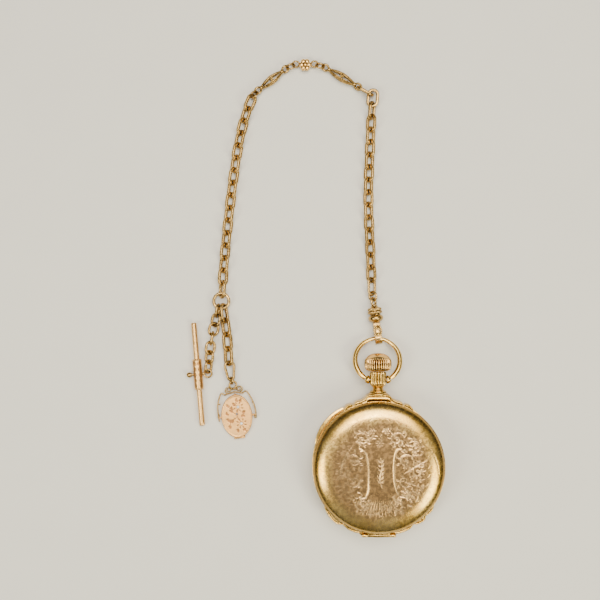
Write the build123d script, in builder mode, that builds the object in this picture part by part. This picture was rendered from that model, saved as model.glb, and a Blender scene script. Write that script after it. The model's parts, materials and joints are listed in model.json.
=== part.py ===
"""Hunter pocket watch with its vest chain, T-bar and spinning fob, lying front cover up.

Millimetres. The origin is the middle of the back cover's flat outer face. +Z is up through
the front cover, +Y points to the pendant and crown, and +X is to the right.
"""
from build123d import *
from math import atan2, cos, degrees, hypot, radians, sin
import os

os.makedirs("parts", exist_ok=True)

# ---------------------------------------------------------------- case heights and radii
CASE_THICKNESS = 17.5
COVER_DEPTH = 4.6
PARTING_GAP = 0.05
COVER_R = 27.25
COVER_FLAT_R = 19.6
COVER_WALL = 0.7
COVER_RIM = 0.8
COVER_CROWN = 0.2
BAND_R = 26.0
BAND_INNER_R = 25.0
LEDGE_R = 22.0
BACK_JOIN = 4.85
FRONT_JOIN = 12.85
STEM_Z = (BACK_JOIN + FRONT_JOIN) / 2
ORNAMENT_R = 29.3
ORNAMENT_HALF_ANGLE = 54

# ---------------------------------------------------------------- cover hinges
HINGE_Y = -28.05
KNUCKLE_R = 0.7
PIN_R = 0.3
PIN_BORE_FIXED = 0.31
PIN_BORE_TURNING = 0.34
HINGE_HALF = 7.0

# ---------------------------------------------------------------- pendant, bow and crown
PENDANT_R = 2.2
COLUMN_R = 3.25
COLUMN_TOP = 38.6
BOW_PIVOT_Y = 35.8
BOW_MEAN_R = 9.35
BOW_RISE = 8.3
BOW_WIRE_R = 0.8
BOW_DROOP = 18.0
CROWN_R = 5.45
CROWN_BOTTOM = 39.4
CROWN_TOP = 46.8
STEM_R = 0.6
CROWN_BORE_R = 0.64
SLEEVE_BORE_R = 0.68
SLEEVE_R = 1.4

# ---------------------------------------------------------------- movement
PLATE_R = 21.7
PLATE_BOTTOM = 9.0
PLATE_TOP = 10.4
BRIDGE_BOTTOM = 5.3
BRIDGE_TOP = 6.8
BRIDGE_R = 20.8
PIVOT_R = 0.2
PIVOT_HOLE_R = 0.26
ARBOR_R = 0.4
DIAL_BOTTOM = 11.4
DIAL_TOP = 11.9
DIAL_R = 22.4
WHEEL_THICK = 0.25
ADDENDUM = 0.6
DEDENDUM = 1.0

# ---------------------------------------------------------------- vest chain
LINK_LENGTH = 8.1
LINK_WIDTH = 5.2
LINK_BAR = 1.25
CHAIN_Z = 2.4
FOB_LINK_LENGTH = 8.8
ROUND_LINK_LENGTH = 6.35
ROUND_LINK_WIDTH = 5.2
ROUND_LINK_WIRE = 1.15
TBAR_LENGTH = 43.6
TBAR_R = 1.15
EYELET_D = 3.8
EYELET_WIRE = 0.95


def save(builder, label):
    """Name a finished piece and write it."""
    builder.part.label = label
    export_step(builder.part, f"parts/{label}.step")


def tooth_points(teeth, module, first_tooth):
    """Corners of a wheel with thin, straight-sided watch teeth; first_tooth is an angle in degrees."""
    tip = module * (teeth / 2 + ADDENDUM)
    root = module * (teeth / 2 - DEDENDUM)
    corners = []
    for tooth in range(teeth):
        for radius, shift in ((root, -0.27), (tip, -0.1), (tip, 0.1), (root, 0.27)):
            angle = radians(first_tooth + (tooth + shift) * 360 / teeth)
            corners.append((radius * cos(angle), radius * sin(angle)))
    return corners


def rim_to_rim(place, towards):
    """Angle in degrees, in plan, from one arbor to another."""
    return degrees(atan2(towards[1] - place[1], towards[0] - place[0]))


def gap_phase(teeth, facing):
    """First tooth angle that puts a gap, not a tooth, on the side that faces the mate."""
    return facing + 180 / teeth


def make_wheel(place, teeth, module, low, first_tooth, bore=0.0, windows=5, thick=WHEEL_THICK):
    """A flat toothed wheel with round crossings, centred on an arbor."""
    hub = 1.3
    inner = module * (teeth / 2 - DEDENDUM) - 0.6
    middle = (inner + hub) / 2
    window_r = min((inner - hub) / 2, middle * sin(radians(180 / max(windows, 1))) - 0.25)
    with BuildPart() as wheel:
        with BuildSketch(Plane((place[0], place[1], low))):
            Polygon(*tooth_points(teeth, module, first_tooth), align=None)
            if windows:
                with PolarLocations(middle, windows):
                    Circle(window_r, mode=Mode.SUBTRACT)
            if bore:
                Circle(bore, mode=Mode.SUBTRACT)
        extrude(amount=thick)
    return wheel.part


def make_arbor(place, low, high, body_low, body_high, radius=ARBOR_R):
    """An arbor with thin pivots at both ends."""
    with BuildPart() as arbor:
        with BuildSketch(Plane((place[0], place[1], low))):
            Circle(PIVOT_R)
        extrude(amount=high - low)
        with BuildSketch(Plane((place[0], place[1], body_low))):
            Circle(radius)
        extrude(amount=body_high - body_low)
    return arbor.part


# ================================================================ case
def cover_profile():
    """Half section of a cover: rim at z = 0, flat crown at the top, wall inside."""
    shoulder_r = COVER_R - 0.25
    dome = COVER_DEPTH - COVER_CROWN
    with BuildSketch(Plane.XZ) as section:
        with BuildLine():
            Line((COVER_R - 0.85, 0), (COVER_R, 0))
            Line((COVER_R, 0), (COVER_R, COVER_RIM - 0.15))
            Line((COVER_R, COVER_RIM - 0.15), (shoulder_r, COVER_RIM))
            EllipticalCenterArc(
                (COVER_FLAT_R, COVER_RIM),
                shoulder_r - COVER_FLAT_R,
                dome - COVER_RIM,
                start_angle=0,
                arc_size=90,
            )
            Line((COVER_FLAT_R, dome), (0, COVER_DEPTH))
            Line((0, COVER_DEPTH), (0, COVER_DEPTH - COVER_WALL))
            Line((0, COVER_DEPTH - COVER_WALL), (COVER_FLAT_R, dome - COVER_WALL))
            EllipticalCenterArc(
                (COVER_FLAT_R, COVER_RIM),
                shoulder_r - COVER_FLAT_R - 0.6,
                dome - COVER_RIM - COVER_WALL,
                start_angle=0,
                arc_size=90,
            )
            Line((COVER_R - 0.85, COVER_RIM), (COVER_R - 0.85, 0))
        make_face()
    return section.sketch


with BuildPart() as front_lid:
    add(cover_profile())
    revolve(axis=Axis.Z)
front_cover = front_lid.part.moved(Location((0, 0, CASE_THICKNESS - COVER_DEPTH)))
with BuildPart() as front_lid:
    add(front_cover)
    with BuildSketch(Plane.YZ.offset(-4.4)):
        with Locations((HINGE_Y, FRONT_JOIN)):
            Circle(KNUCKLE_R)
            Rectangle(2.1, 0.65, align=(Align.MIN, Align.MIN))
    extrude(amount=8.8)
    with Locations(Location((0, HINGE_Y, FRONT_JOIN), (0, 90, 0))):
        Cylinder(PIN_BORE_TURNING, 20, mode=Mode.SUBTRACT)
save(front_lid, "front_lid")

back_cover = front_cover.mirror(Plane.XY).moved(Location((0, 0, CASE_THICKNESS)))
with BuildPart() as back_lid:
    add(back_cover)
    with BuildSketch(Plane.YZ.offset(-4.4)):
        with Locations((HINGE_Y, BACK_JOIN)):
            Circle(KNUCKLE_R)
            Rectangle(2.1, 0.65, align=(Align.MIN, Align.MAX))
    extrude(amount=8.8)
    with BuildSketch(Plane.YZ.offset(-1.6)):
        with Locations((HINGE_Y, BACK_JOIN)):
            Rectangle(6, 2.2, align=(Align.CENTER, Align.CENTER))
    extrude(amount=3.2, mode=Mode.SUBTRACT)
    with Locations(Location((0, HINGE_Y, BACK_JOIN), (0, 90, 0))):
        Cylinder(PIN_BORE_TURNING, 20, mode=Mode.SUBTRACT)
    with BuildSketch():
        Circle(COVER_FLAT_R)
    extrude(amount=0.25)
save(back_lid, "back_lid")

# Inner dust cover: a shallow dish that shares the back hinge pin.
CUVETTE_R = 24.6
with BuildPart() as cuvette:
    with BuildSketch(Plane.XZ):
        with BuildLine():
            Polyline((0, 3.2), (20, 3.2), (23.4, 4.0), (CUVETTE_R, 4.0), (CUVETTE_R, 4.6))
            Polyline((CUVETTE_R, 4.6), (23.2, 4.6), (19.8, 3.7), (0, 3.7), (0, 3.2))
        make_face()
    revolve(axis=Axis.Z)
    with BuildSketch(Plane.YZ.offset(-1.3)):
        with Locations((HINGE_Y, BACK_JOIN)):
            Circle(KNUCKLE_R)
        with Locations((HINGE_Y, 4.05)):
            Rectangle(4.2, 0.5, align=(Align.MIN, Align.MIN))
    extrude(amount=2.6)
    with Locations(Location((0, HINGE_Y, BACK_JOIN), (0, 90, 0))):
        Cylinder(PIN_BORE_TURNING, 20, mode=Mode.SUBTRACT)
save(cuvette, "cuvette")

# Centre band: a plain ring with an inner ledge for the movement; the coin edge is on its outside.
with BuildPart() as case_band:
    with BuildSketch(Plane.XZ):
        with BuildLine():
            Polyline(
                (BAND_INNER_R, BACK_JOIN),
                (BAND_R, BACK_JOIN),
                (BAND_R, FRONT_JOIN),
                (BAND_INNER_R, FRONT_JOIN),
                (BAND_INNER_R, 9.95),
                (LEDGE_R, 9.95),
                (LEDGE_R, 9.4),
                (BAND_INNER_R, 9.4),
                close=True,
            )
        make_face()
    revolve(axis=Axis.Z)
    with BuildSketch(Plane.XZ.offset(-20)):
        with Locations((0, STEM_Z)):
            Circle(PENDANT_R + 0.03)
    extrude(amount=-10, mode=Mode.SUBTRACT)
save(case_band, "case_band")

# Hinge box: a scalloped ornament that follows the band round the bottom and holds the knuckles.
LOBE_ANGLES = (-44, -27, 27, 44)
with BuildPart() as hinge_box:
    with BuildSketch(Plane.XY.offset(BACK_JOIN + 0.75)):
        with BuildLine():
            Polyline(
                (0, 0),
                (60 * cos(radians(-90 - ORNAMENT_HALF_ANGLE)), 60 * sin(radians(-90 - ORNAMENT_HALF_ANGLE))),
                (0, -90),
                (60 * cos(radians(-90 + ORNAMENT_HALF_ANGLE)), 60 * sin(radians(-90 + ORNAMENT_HALF_ANGLE))),
                close=True,
            )
        make_face()
        Circle(ORNAMENT_R - 0.5, mode=Mode.INTERSECT)
        for lobe in LOBE_ANGLES:
            with PolarLocations(ORNAMENT_R - 2.3, 1, start_angle=lobe - 90):
                Circle(2.3)
        Circle(BAND_R + 0.02, mode=Mode.SUBTRACT)
    extrude(amount=FRONT_JOIN - BACK_JOIN - 1.5)
    for hinge_z in (BACK_JOIN, FRONT_JOIN):
        for side in (-1, 1):
            with BuildSketch(Plane.YZ.offset(side * (HINGE_HALF + 4.5) / 2)):
                with Locations((HINGE_Y, hinge_z)):
                    Circle(KNUCKLE_R)
                with Locations((HINGE_Y, STEM_Z + (hinge_z - STEM_Z) * 0.88)):
                    Rectangle(2 * KNUCKLE_R, 1.0)
            extrude(amount=(HINGE_HALF - 4.5) / 2, both=True)
        with BuildSketch(Plane.YZ.offset(-4.5)):
            with Locations((HINGE_Y, hinge_z)):
                Circle(KNUCKLE_R + 0.12)
        extrude(amount=9.0, mode=Mode.SUBTRACT)
        with Locations(Location((0, HINGE_Y, hinge_z), (0, 90, 0))):
            Cylinder(PIN_BORE_FIXED, 20, mode=Mode.SUBTRACT)
save(hinge_box, "hinge_box")

with BuildPart() as hinge_pins:
    for hinge_z in (BACK_JOIN, FRONT_JOIN):
        with Locations(Location((0, HINGE_Y, hinge_z), (0, 90, 0))):
            Cylinder(PIN_R, 2 * HINGE_HALF)
save(hinge_pins, "hinge_pins")

# Shoulder plate: the scrolled ornament at the foot of the pendant.
with BuildPart() as shoulder_plate:
    with BuildSketch(Plane.XY.offset(BACK_JOIN + 0.75)):
        with BuildLine():
            Line((0, 24), (-13.8, 21.9))
            Line((-13.8, 21.9), (-14.1, 22.8))
            ThreePointArc((-14.1, 22.8), (-12.7, 25.2), (-10.6, 25.3))
            Line((-10.6, 25.3), (-9.9, 25.6))
            Line((-9.9, 25.6), (-9.7, 26.3))
            ThreePointArc((-9.7, 26.3), (-7.2, 27.0), (-5.6, 28.6))
            ThreePointArc((-5.6, 28.6), (-4.9, 29.6), (-4.2, 29.9))
            Line((-4.2, 29.9), (0, 29.9))
            Line((0, 29.9), (0, 24))
        make_face()
        mirror(about=Plane.YZ)
        Circle(BAND_R + 0.02, mode=Mode.SUBTRACT)
    extrude(amount=FRONT_JOIN - BACK_JOIN - 1.5)
    with BuildSketch(Plane.XZ.offset(-20)):
        with Locations((0, STEM_Z)):
            Circle(PENDANT_R + 0.03)
    extrude(amount=-12, mode=Mode.SUBTRACT)
save(shoulder_plate, "shoulder_plate")

# Pendant: the fluted column that carries the bow, turned about the stem's axis.
stem_axis = Axis((0, 0, STEM_Z), (0, 1, 0))
with BuildPart() as pendant:
    with BuildSketch(Plane.XY.offset(STEM_Z)):
        with BuildLine():
            Polyline((SLEEVE_R + 0.03, 25.2), (PENDANT_R, 25.2), (PENDANT_R, 30.0), (3.9, 30.1))
            ThreePointArc((3.9, 30.1), (3.5, 30.7), (2.5, 31.0))
            Line((2.5, 31.0), (2.3, 31.5))
            ThreePointArc((2.3, 31.5), (2.9, 32.3), (COLUMN_R, 33.6))
            Line((COLUMN_R, 33.6), (COLUMN_R, COLUMN_TOP))
            Polyline((COLUMN_R, COLUMN_TOP), (SLEEVE_R + 0.03, COLUMN_TOP), (SLEEVE_R + 0.03, 25.2))
        make_face()
    revolve(axis=stem_axis)
    with Locations(Location((0, BOW_PIVOT_Y, STEM_Z), (0, 90, 0))):
        Cylinder(0.42, 2 * COLUMN_R + 1, mode=Mode.SUBTRACT)
save(pendant, "pendant")

with BuildPart() as stem_sleeve:
    with BuildSketch(Plane.XY.offset(STEM_Z)):
        with Locations((SLEEVE_BORE_R, 25.6)):
            Rectangle(SLEEVE_R - SLEEVE_BORE_R, 12.6, align=(Align.MIN, Align.MIN))
    revolve(axis=stem_axis)
save(stem_sleeve, "stem_sleeve")

with BuildPart() as bow_screws:
    for side in (-1, 1):
        with Locations(Location((side * 3.55, BOW_PIVOT_Y, STEM_Z), (0, 90, 0))):
            Cylinder(0.4, 3.5)
        with Locations(Location((side * 5.45, BOW_PIVOT_Y, STEM_Z), (0, 90, 0))):
            Cylinder(0.75, 0.3)
save(bow_screws, "bow_screws")

# Bow: a ring that drops toward the back when the watch lies down.
bow_end = degrees(atan2(-BOW_RISE, (BOW_MEAN_R**2 - BOW_RISE**2) ** 0.5))
bow_plane = Plane(
    (0, BOW_PIVOT_Y, STEM_Z),
    x_dir=(1, 0, 0),
    z_dir=(0, sin(radians(BOW_DROOP)), cos(radians(BOW_DROOP))),
)
with BuildPart() as bow:
    with BuildLine(bow_plane) as bow_line:
        CenterArc((0, BOW_RISE), BOW_MEAN_R, bow_end, 180 - 2 * bow_end)
    with BuildSketch(Plane(bow_line.line @ 0, z_dir=bow_line.line % 0)):
        Circle(BOW_WIRE_R)
    sweep()
    for side in (-1, 1):
        with Locations(Location((side * 4.35, BOW_PIVOT_Y, STEM_Z), (0, 90, 0))):
            Cylinder(1.3, 1.8)
        with Locations(Location((side * 4.35, BOW_PIVOT_Y, STEM_Z), (0, 90, 0))):
            Cylinder(0.45, 4.0, mode=Mode.SUBTRACT)
        with Locations(Location((side * 6.25, BOW_PIVOT_Y, STEM_Z), (0, 90, 0))):
            Cylinder(0.85, 2.0, mode=Mode.SUBTRACT)
save(bow, "bow")

# Crown: onion-shaped, hollow underneath, fixed on the stem.
with BuildPart() as crown:
    with BuildSketch(Plane.XY.offset(STEM_Z)):
        with BuildLine():
            Line((CROWN_BORE_R, CROWN_BOTTOM), (3.7, CROWN_BOTTOM))
            Spline(
                (3.7, CROWN_BOTTOM), (4.7, 40.4), (CROWN_R, 42.3), (4.9, 44.6), (3.2, 46.2), (0, CROWN_TOP),
            )
            Polyline((0, CROWN_TOP), (0, 45.5), (CROWN_BORE_R, 45.5), (CROWN_BORE_R, CROWN_BOTTOM))
        make_face()
    revolve(axis=stem_axis)
save(crown, "crown")

with BuildPart() as winding_stem:
    with BuildSketch(Plane.XY.offset(STEM_Z)):
        with BuildLine():
            Polyline(
                (0, 14.5), (0.35, 14.5), (0.35, 16.5), (STEM_R, 16.5), (STEM_R, 45.4), (0, 45.4), close=True,
            )
        make_face()
    revolve(axis=stem_axis)
save(winding_stem, "winding_stem")

# Springs that push the front cover open and hold it shut.
SPRING_INNER_R = 23.5
SPRING_OUTER_R = 24.1


def case_spring(first, last, finger, finger_top):
    """A flat curved spring along the inside of the band, with one upright finger."""
    with BuildPart() as spring:
        with BuildSketch(Plane.XY.offset(5.6)):
            with BuildLine():
                CenterArc((0, 0), SPRING_OUTER_R, first, last - first)
                CenterArc((0, 0), SPRING_INNER_R, first, last - first)
                for edge in (first, last):
                    inner = (SPRING_INNER_R * cos(radians(edge)), SPRING_INNER_R * sin(radians(edge)))
                    outer = (SPRING_OUTER_R * cos(radians(edge)), SPRING_OUTER_R * sin(radians(edge)))
                    Line(inner, outer)
            make_face()
        extrude(amount=2.2)
        with BuildSketch(Plane.XY.offset(7.0)):
            with PolarLocations((SPRING_INNER_R + SPRING_OUTER_R) / 2, 1, start_angle=finger):
                Rectangle(0.5, 2.4)
        extrude(amount=finger_top - 7.0)
    return spring


lock_spring = case_spring(20, 112, 74, 9.2)
save(lock_spring, "lock_spring")
lift_spring = case_spring(-166, -72, -78, 9.2)
save(lift_spring, "lift_spring")

with BuildPart() as bezel:
    with BuildSketch(Plane.XZ):
        with BuildLine():
            Polyline(
                (22.5, FRONT_JOIN + PARTING_GAP),
                (25.3, FRONT_JOIN + PARTING_GAP),
                (25.3, 13.3),
                (23.9, 14.3),
                (23.35, 14.3),
                (23.35, 13.5),
                (22.5, 13.5),
                close=True,
            )
        make_face()
    revolve(axis=Axis.Z)
save(bezel, "bezel")

# Watch glass: a thin spherical cap that sits in the bezel's rebate.
def cap_middle(top, edge_r, edge_z):
    """The point halfway along the arc of a spherical cap, from its top to its edge."""
    drop = top - edge_z
    sphere_r = (edge_r**2 + drop**2) / (2 * drop)
    half = atan2(edge_r, sphere_r - drop) / 2
    return (sphere_r * sin(half), top - sphere_r * (1 - cos(half)))


GLASS_TOP = 15.9
GLASS_UNDER = 15.3
with BuildPart() as crystal:
    with BuildSketch(Plane.XZ):
        with BuildLine():
            ThreePointArc((0, GLASS_UNDER), cap_middle(GLASS_UNDER, 22.4, 13.52), (22.4, 13.52))
            Polyline((22.4, 13.52), (23.3, 13.52), (23.3, 14.0))
            ThreePointArc((23.3, 14.0), cap_middle(GLASS_TOP, 23.3, 14.0), (0, GLASS_TOP))
            Line((0, GLASS_TOP), (0, GLASS_UNDER))
        make_face()
    revolve(axis=Axis.Z)
save(crystal, "crystal")

# ================================================================ movement
# Every wheel's place, in plan. The seconds arbor lies to the right, a quarter turn from the stem.
CENTRE = (0.0, 0.0)
FOURTH = (10.8, 0.0)
THIRD = (6.065, -3.88)
BARREL = (-5.3, 7.57)
BALANCE = (7.5, -11.8)
MODULE_BARREL = 0.22
MODULE_CENTRE = 0.2
MODULE_THIRD = 0.18
MODULE_FOURTH = 0.16
ESCAPE_DISTANCE = 33 * MODULE_FOURTH
ESCAPE_ANGLE = -50
ESCAPE = (
    FOURTH[0] + ESCAPE_DISTANCE * cos(radians(ESCAPE_ANGLE)),
    FOURTH[1] + ESCAPE_DISTANCE * sin(radians(ESCAPE_ANGLE)),
)
PALLET = (ESCAPE[0] + (BALANCE[0] - ESCAPE[0]) * 0.36, ESCAPE[1] + (BALANCE[1] - ESCAPE[1]) * 0.36)
MINUTE_WORK = (-2.121, -2.121)
CROWN_WHEEL = (0.0, 15.6)
LEVEL_LOW = 7.05
LEVEL_MID = 7.7
LEVEL_HIGH = 8.4

with BuildPart() as main_plate:
    with BuildSketch(Plane.XY.offset(PLATE_BOTTOM)):
        Circle(PLATE_R)
    extrude(amount=PLATE_TOP - PLATE_BOTTOM)
    with BuildSketch(Plane.XY.offset(10.0)):
        Circle(23.2)
        Circle(PLATE_R - 0.5, mode=Mode.SUBTRACT)
    extrude(amount=PLATE_TOP - 10.0)
    with BuildSketch(Plane.XY.offset(PLATE_BOTTOM)):
        for place in (THIRD, ESCAPE, BARREL, BALANCE, PALLET):
            with Locations(place):
                Circle(PIVOT_HOLE_R)
        for place in (CENTRE, FOURTH):
            with Locations(place):
                Circle(0.5)
    extrude(amount=2, mode=Mode.SUBTRACT)
    with BuildSketch(Plane.XZ.offset(-14)):
        with Locations((0, STEM_Z)):
            Circle(0.75)
    extrude(amount=-12, mode=Mode.SUBTRACT)
    with BuildSketch(Plane.XY.offset(BRIDGE_TOP)):
        for angle in (28, 128, 190, 236):
            with PolarLocations(19.3, 1, start_angle=angle):
                Circle(1.1)
        with PolarLocations(19.9, 1, start_angle=-88):
            Circle(0.9)
    extrude(amount=PLATE_BOTTOM - BRIDGE_TOP)
    with BuildSketch(Plane.XY.offset(PLATE_TOP)):
        with Locations(MINUTE_WORK):
            Circle(0.25)
    extrude(amount=0.8)
save(main_plate, "main_plate")

# Two bridges and a cock carry the back pivots.
COCK_ANGLE = -88
COCK_FOOT = (19.6 * cos(radians(COCK_ANGLE)), 19.6 * sin(radians(COCK_ANGLE)))
with BuildPart() as barrel_bridge:
    with BuildSketch(Plane.XY.offset(BRIDGE_BOTTOM)):
        Circle(BRIDGE_R)
        with Locations((0, 1.6)):
            Rectangle(60, 60, align=(Align.CENTER, Align.MIN), mode=Mode.INTERSECT)
        with Locations(BARREL):
            Circle(PIVOT_HOLE_R, mode=Mode.SUBTRACT)
    extrude(amount=BRIDGE_TOP - BRIDGE_BOTTOM)
save(barrel_bridge, "barrel_bridge")

with BuildPart() as train_bridge:
    with BuildSketch(Plane.XY.offset(BRIDGE_BOTTOM)):
        Circle(BRIDGE_R)
        with Locations((0, 1.4)):
            Rectangle(60, 60, align=(Align.CENTER, Align.MAX), mode=Mode.INTERSECT)
        with Locations(BALANCE):
            Circle(7.3, mode=Mode.SUBTRACT)
        with Locations((10.5, -20)):
            Rectangle(21, 12, mode=Mode.SUBTRACT)
        with Locations(COCK_FOOT):
            Circle(2.2, mode=Mode.SUBTRACT)
        for place in (CENTRE, FOURTH, THIRD, ESCAPE):
            with Locations(place):
                Circle(PIVOT_HOLE_R, mode=Mode.SUBTRACT)
    extrude(amount=BRIDGE_TOP - BRIDGE_BOTTOM)
save(train_bridge, "train_bridge")

cock_length = hypot(BALANCE[0] - COCK_FOOT[0], BALANCE[1] - COCK_FOOT[1])
cock_angle = rim_to_rim(COCK_FOOT, BALANCE)
with BuildPart() as balance_cock:
    with BuildSketch(Plane((COCK_FOOT[0], COCK_FOOT[1], BRIDGE_BOTTOM)).rotated((0, 0, cock_angle))):
        Circle(1.6)
        with Locations((cock_length, 0)):
            Circle(1.9)
        with BuildLine():
            Polyline((0, 1.5), (cock_length, 1.2), (cock_length, -1.2), (0, -1.5), close=True)
        make_face()
        with Locations((cock_length, 0)):
            Circle(PIVOT_HOLE_R, mode=Mode.SUBTRACT)
    extrude(amount=BRIDGE_TOP - BRIDGE_BOTTOM)
save(balance_cock, "balance_cock")

# Going train. Levels alternate so that each wheel passes over its neighbour's arbor.
facing = rim_to_rim(BARREL, CENTRE)
with BuildPart() as mainspring_barrel:
    with BuildSketch(Plane((*BARREL, LEVEL_LOW + 0.3))):
        Circle(36 * MODULE_BARREL - 0.5)
    extrude(amount=0.9)
    add(make_wheel(BARREL, 72, MODULE_BARREL, LEVEL_LOW, facing, windows=0, thick=0.32))
    add(make_arbor(BARREL, 6.0, 9.6, 6.85, 8.8))
save(mainspring_barrel, "mainspring_barrel")

to_barrel = rim_to_rim(CENTRE, BARREL)
to_third = rim_to_rim(CENTRE, THIRD)
with BuildPart() as centre_wheel:
    add(make_wheel(CENTRE, 64, MODULE_CENTRE, LEVEL_HIGH, to_third))
    centre_pinion_tooth = gap_phase(12, to_barrel)
    add(make_wheel(CENTRE, 12, MODULE_BARREL, LEVEL_LOW - 0.03, centre_pinion_tooth, windows=0, thick=0.4))
    add(make_arbor(CENTRE, 5.8, 9.2, 6.85, 8.9))
    with BuildSketch(Plane((*CENTRE, 9.0))):
        Circle(0.4)
    extrude(amount=1.5)
save(centre_wheel, "centre_wheel")

with BuildPart() as third_wheel:
    add(make_wheel(THIRD, 60, MODULE_THIRD, LEVEL_MID, rim_to_rim(THIRD, FOURTH)))
    add(
        make_wheel(
            THIRD, 8, MODULE_CENTRE, LEVEL_HIGH - 0.05, gap_phase(8, to_third + 180), windows=0, thick=0.35
        )
    )
    add(make_arbor(THIRD, 5.8, 9.6, 6.85, 8.9, 0.35))
save(third_wheel, "third_wheel")

with BuildPart() as fourth_wheel:
    add(make_wheel(FOURTH, 60, MODULE_FOURTH, LEVEL_LOW, ESCAPE_ANGLE))
    fourth_pinion_tooth = gap_phase(8, rim_to_rim(FOURTH, THIRD))
    add(make_wheel(FOURTH, 8, MODULE_THIRD, LEVEL_MID - 0.05, fourth_pinion_tooth, windows=0, thick=0.35))
    add(make_arbor(FOURTH, 5.8, 9.0, 6.85, 8.9, 0.35))
    with BuildSketch(Plane((*FOURTH, 8.9))):
        Circle(0.3)
    extrude(amount=3.3)
save(fourth_wheel, "fourth_wheel")

with BuildPart() as escape_wheel:
    with BuildSketch(Plane((*ESCAPE, LEVEL_HIGH))):
        Circle(2.2)
        for tooth in range(15):
            with BuildLine():
                lead, trail, tip = (radians(24 * tooth + turn) for turn in (0, 13, 4))
                Polyline(
                    (2.1 * cos(lead), 2.1 * sin(lead)),
                    (2.9 * cos(tip - 0.09), 2.9 * sin(tip - 0.09)),
                    (2.9 * cos(tip), 2.9 * sin(tip)),
                    (2.1 * cos(trail), 2.1 * sin(trail)),
                    close=True,
                )
            make_face()
        with PolarLocations(1.35, 4):
            Circle(0.5, mode=Mode.SUBTRACT)
    extrude(amount=WHEEL_THICK)
    escape_pinion_tooth = gap_phase(6, ESCAPE_ANGLE + 180)
    add(make_wheel(ESCAPE, 6, MODULE_FOURTH, LEVEL_LOW - 0.05, escape_pinion_tooth, windows=0, thick=0.35))
    add(make_arbor(ESCAPE, 5.8, 9.6, 6.85, 8.9, 0.3))
save(escape_wheel, "escape_wheel")

pallet_turn = rim_to_rim(PALLET, BALANCE)
pallet_reach = hypot(BALANCE[0] - PALLET[0], BALANCE[1] - PALLET[1])
with BuildPart() as pallet_fork:
    with BuildSketch(Plane((PALLET[0], PALLET[1], LEVEL_HIGH)).rotated((0, 0, pallet_turn))):
        Circle(0.55)
        with BuildLine():
            Polyline(
                (0, 0.3), (pallet_reach - 2.0, 0.16), (pallet_reach - 2.0, -0.16), (0, -0.3), close=True
            )
        make_face()
        with Locations((pallet_reach - 1.9, 0)):
            Rectangle(0.6, 1.1)
        with Locations((pallet_reach - 1.55, 0)):
            Rectangle(0.7, 0.5, mode=Mode.SUBTRACT)
        with Locations((0, 0)):
            Rectangle(0.5, 3.4)
    extrude(amount=WHEEL_THICK)
    add(make_arbor(PALLET, 8.0, 9.6, 8.2, 8.9, 0.25))
save(pallet_fork, "pallet_fork")

with BuildPart() as balance_wheel:
    with BuildSketch(Plane((*BALANCE, 7.1))):
        Circle(6.5)
        Circle(5.8, mode=Mode.SUBTRACT)
        Rectangle(12.4, 0.8)
        Circle(0.9)
    extrude(amount=0.5)
    with BuildSketch(Plane((*BALANCE, 8.1))):
        Circle(0.75)
    extrude(amount=0.2)
    add(make_arbor(BALANCE, 6.2, 9.6, 6.85, 8.9, 0.35))
save(balance_wheel, "balance_wheel")

# Hairspring: a flat spiral of a few turns, drawn as rings joined by one radial bar.
with BuildPart() as hairspring:
    with BuildSketch(Plane((*BALANCE, 6.9))):
        for ring in range(6):
            Circle(1.0 + 0.45 * ring)
            Circle(0.85 + 0.45 * ring, mode=Mode.SUBTRACT)
            with Locations((0.9 + 0.45 * ring, 0)):
                Rectangle(0.5, 0.12)
        Circle(0.5, mode=Mode.SUBTRACT)
    extrude(amount=0.12)
save(hairspring, "hairspring")

# Winding work on the back of the barrel bridge: crown wheel, ratchet wheel and click.
ratchet_distance = hypot(BARREL[0] - CROWN_WHEEL[0], BARREL[1] - CROWN_WHEEL[1])
RATCHET_TEETH = 46
CROWN_WHEEL_TEETH = 34
wind_module = ratchet_distance / (RATCHET_TEETH + CROWN_WHEEL_TEETH) * 2
to_ratchet = rim_to_rim(CROWN_WHEEL, BARREL)
with BuildPart() as crown_wheel:
    add(make_wheel(CROWN_WHEEL, CROWN_WHEEL_TEETH, wind_module, 4.95, to_ratchet, 0.5, 0, 0.3))
save(crown_wheel, "crown_wheel")
with BuildPart() as ratchet_wheel:
    ratchet_tooth = gap_phase(RATCHET_TEETH, to_ratchet + 180)
    add(make_wheel(BARREL, RATCHET_TEETH, wind_module, 4.95, ratchet_tooth, 0.5, 0, 0.3))
save(ratchet_wheel, "ratchet_wheel")

CLICK = (-11.1, 11.6)
with BuildPart() as click:
    with BuildSketch(Plane((*CLICK, 4.95))):
        Circle(0.9)
        with BuildLine():
            Polyline((-0.8, 0), (-0.5, -2.6), (0.0, -3.4), (0.5, -2.5), (0.9, 0), close=True)
        make_face()
        Circle(0.4, mode=Mode.SUBTRACT)
    extrude(amount=0.3)
save(click, "click")

# Screws that hold the ratchet wheel, crown wheel, click and balance cock.
with BuildPart() as bridge_screws:
    for place, reach in ((CROWN_WHEEL, 0.45), (BARREL, 0.45), (CLICK, 0.36)):
        with BuildSketch(Plane((place[0], place[1], 4.95))):
            Circle(reach)
        extrude(amount=0.34)
save(bridge_screws, "bridge_screws")

# Motion work under the dial.
to_minute_work = rim_to_rim(CENTRE, MINUTE_WORK)
MOTION_MODULE = 0.125
HOUR_MODULE = 0.12
with BuildPart() as cannon_pinion:
    add(make_wheel(CENTRE, 12, MOTION_MODULE, 10.55, to_minute_work, windows=0, thick=0.3))
    with BuildSketch(Plane((*CENTRE, 10.85))):
        Circle(0.5)
    extrude(amount=2.1)
save(cannon_pinion, "cannon_pinion")

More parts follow.
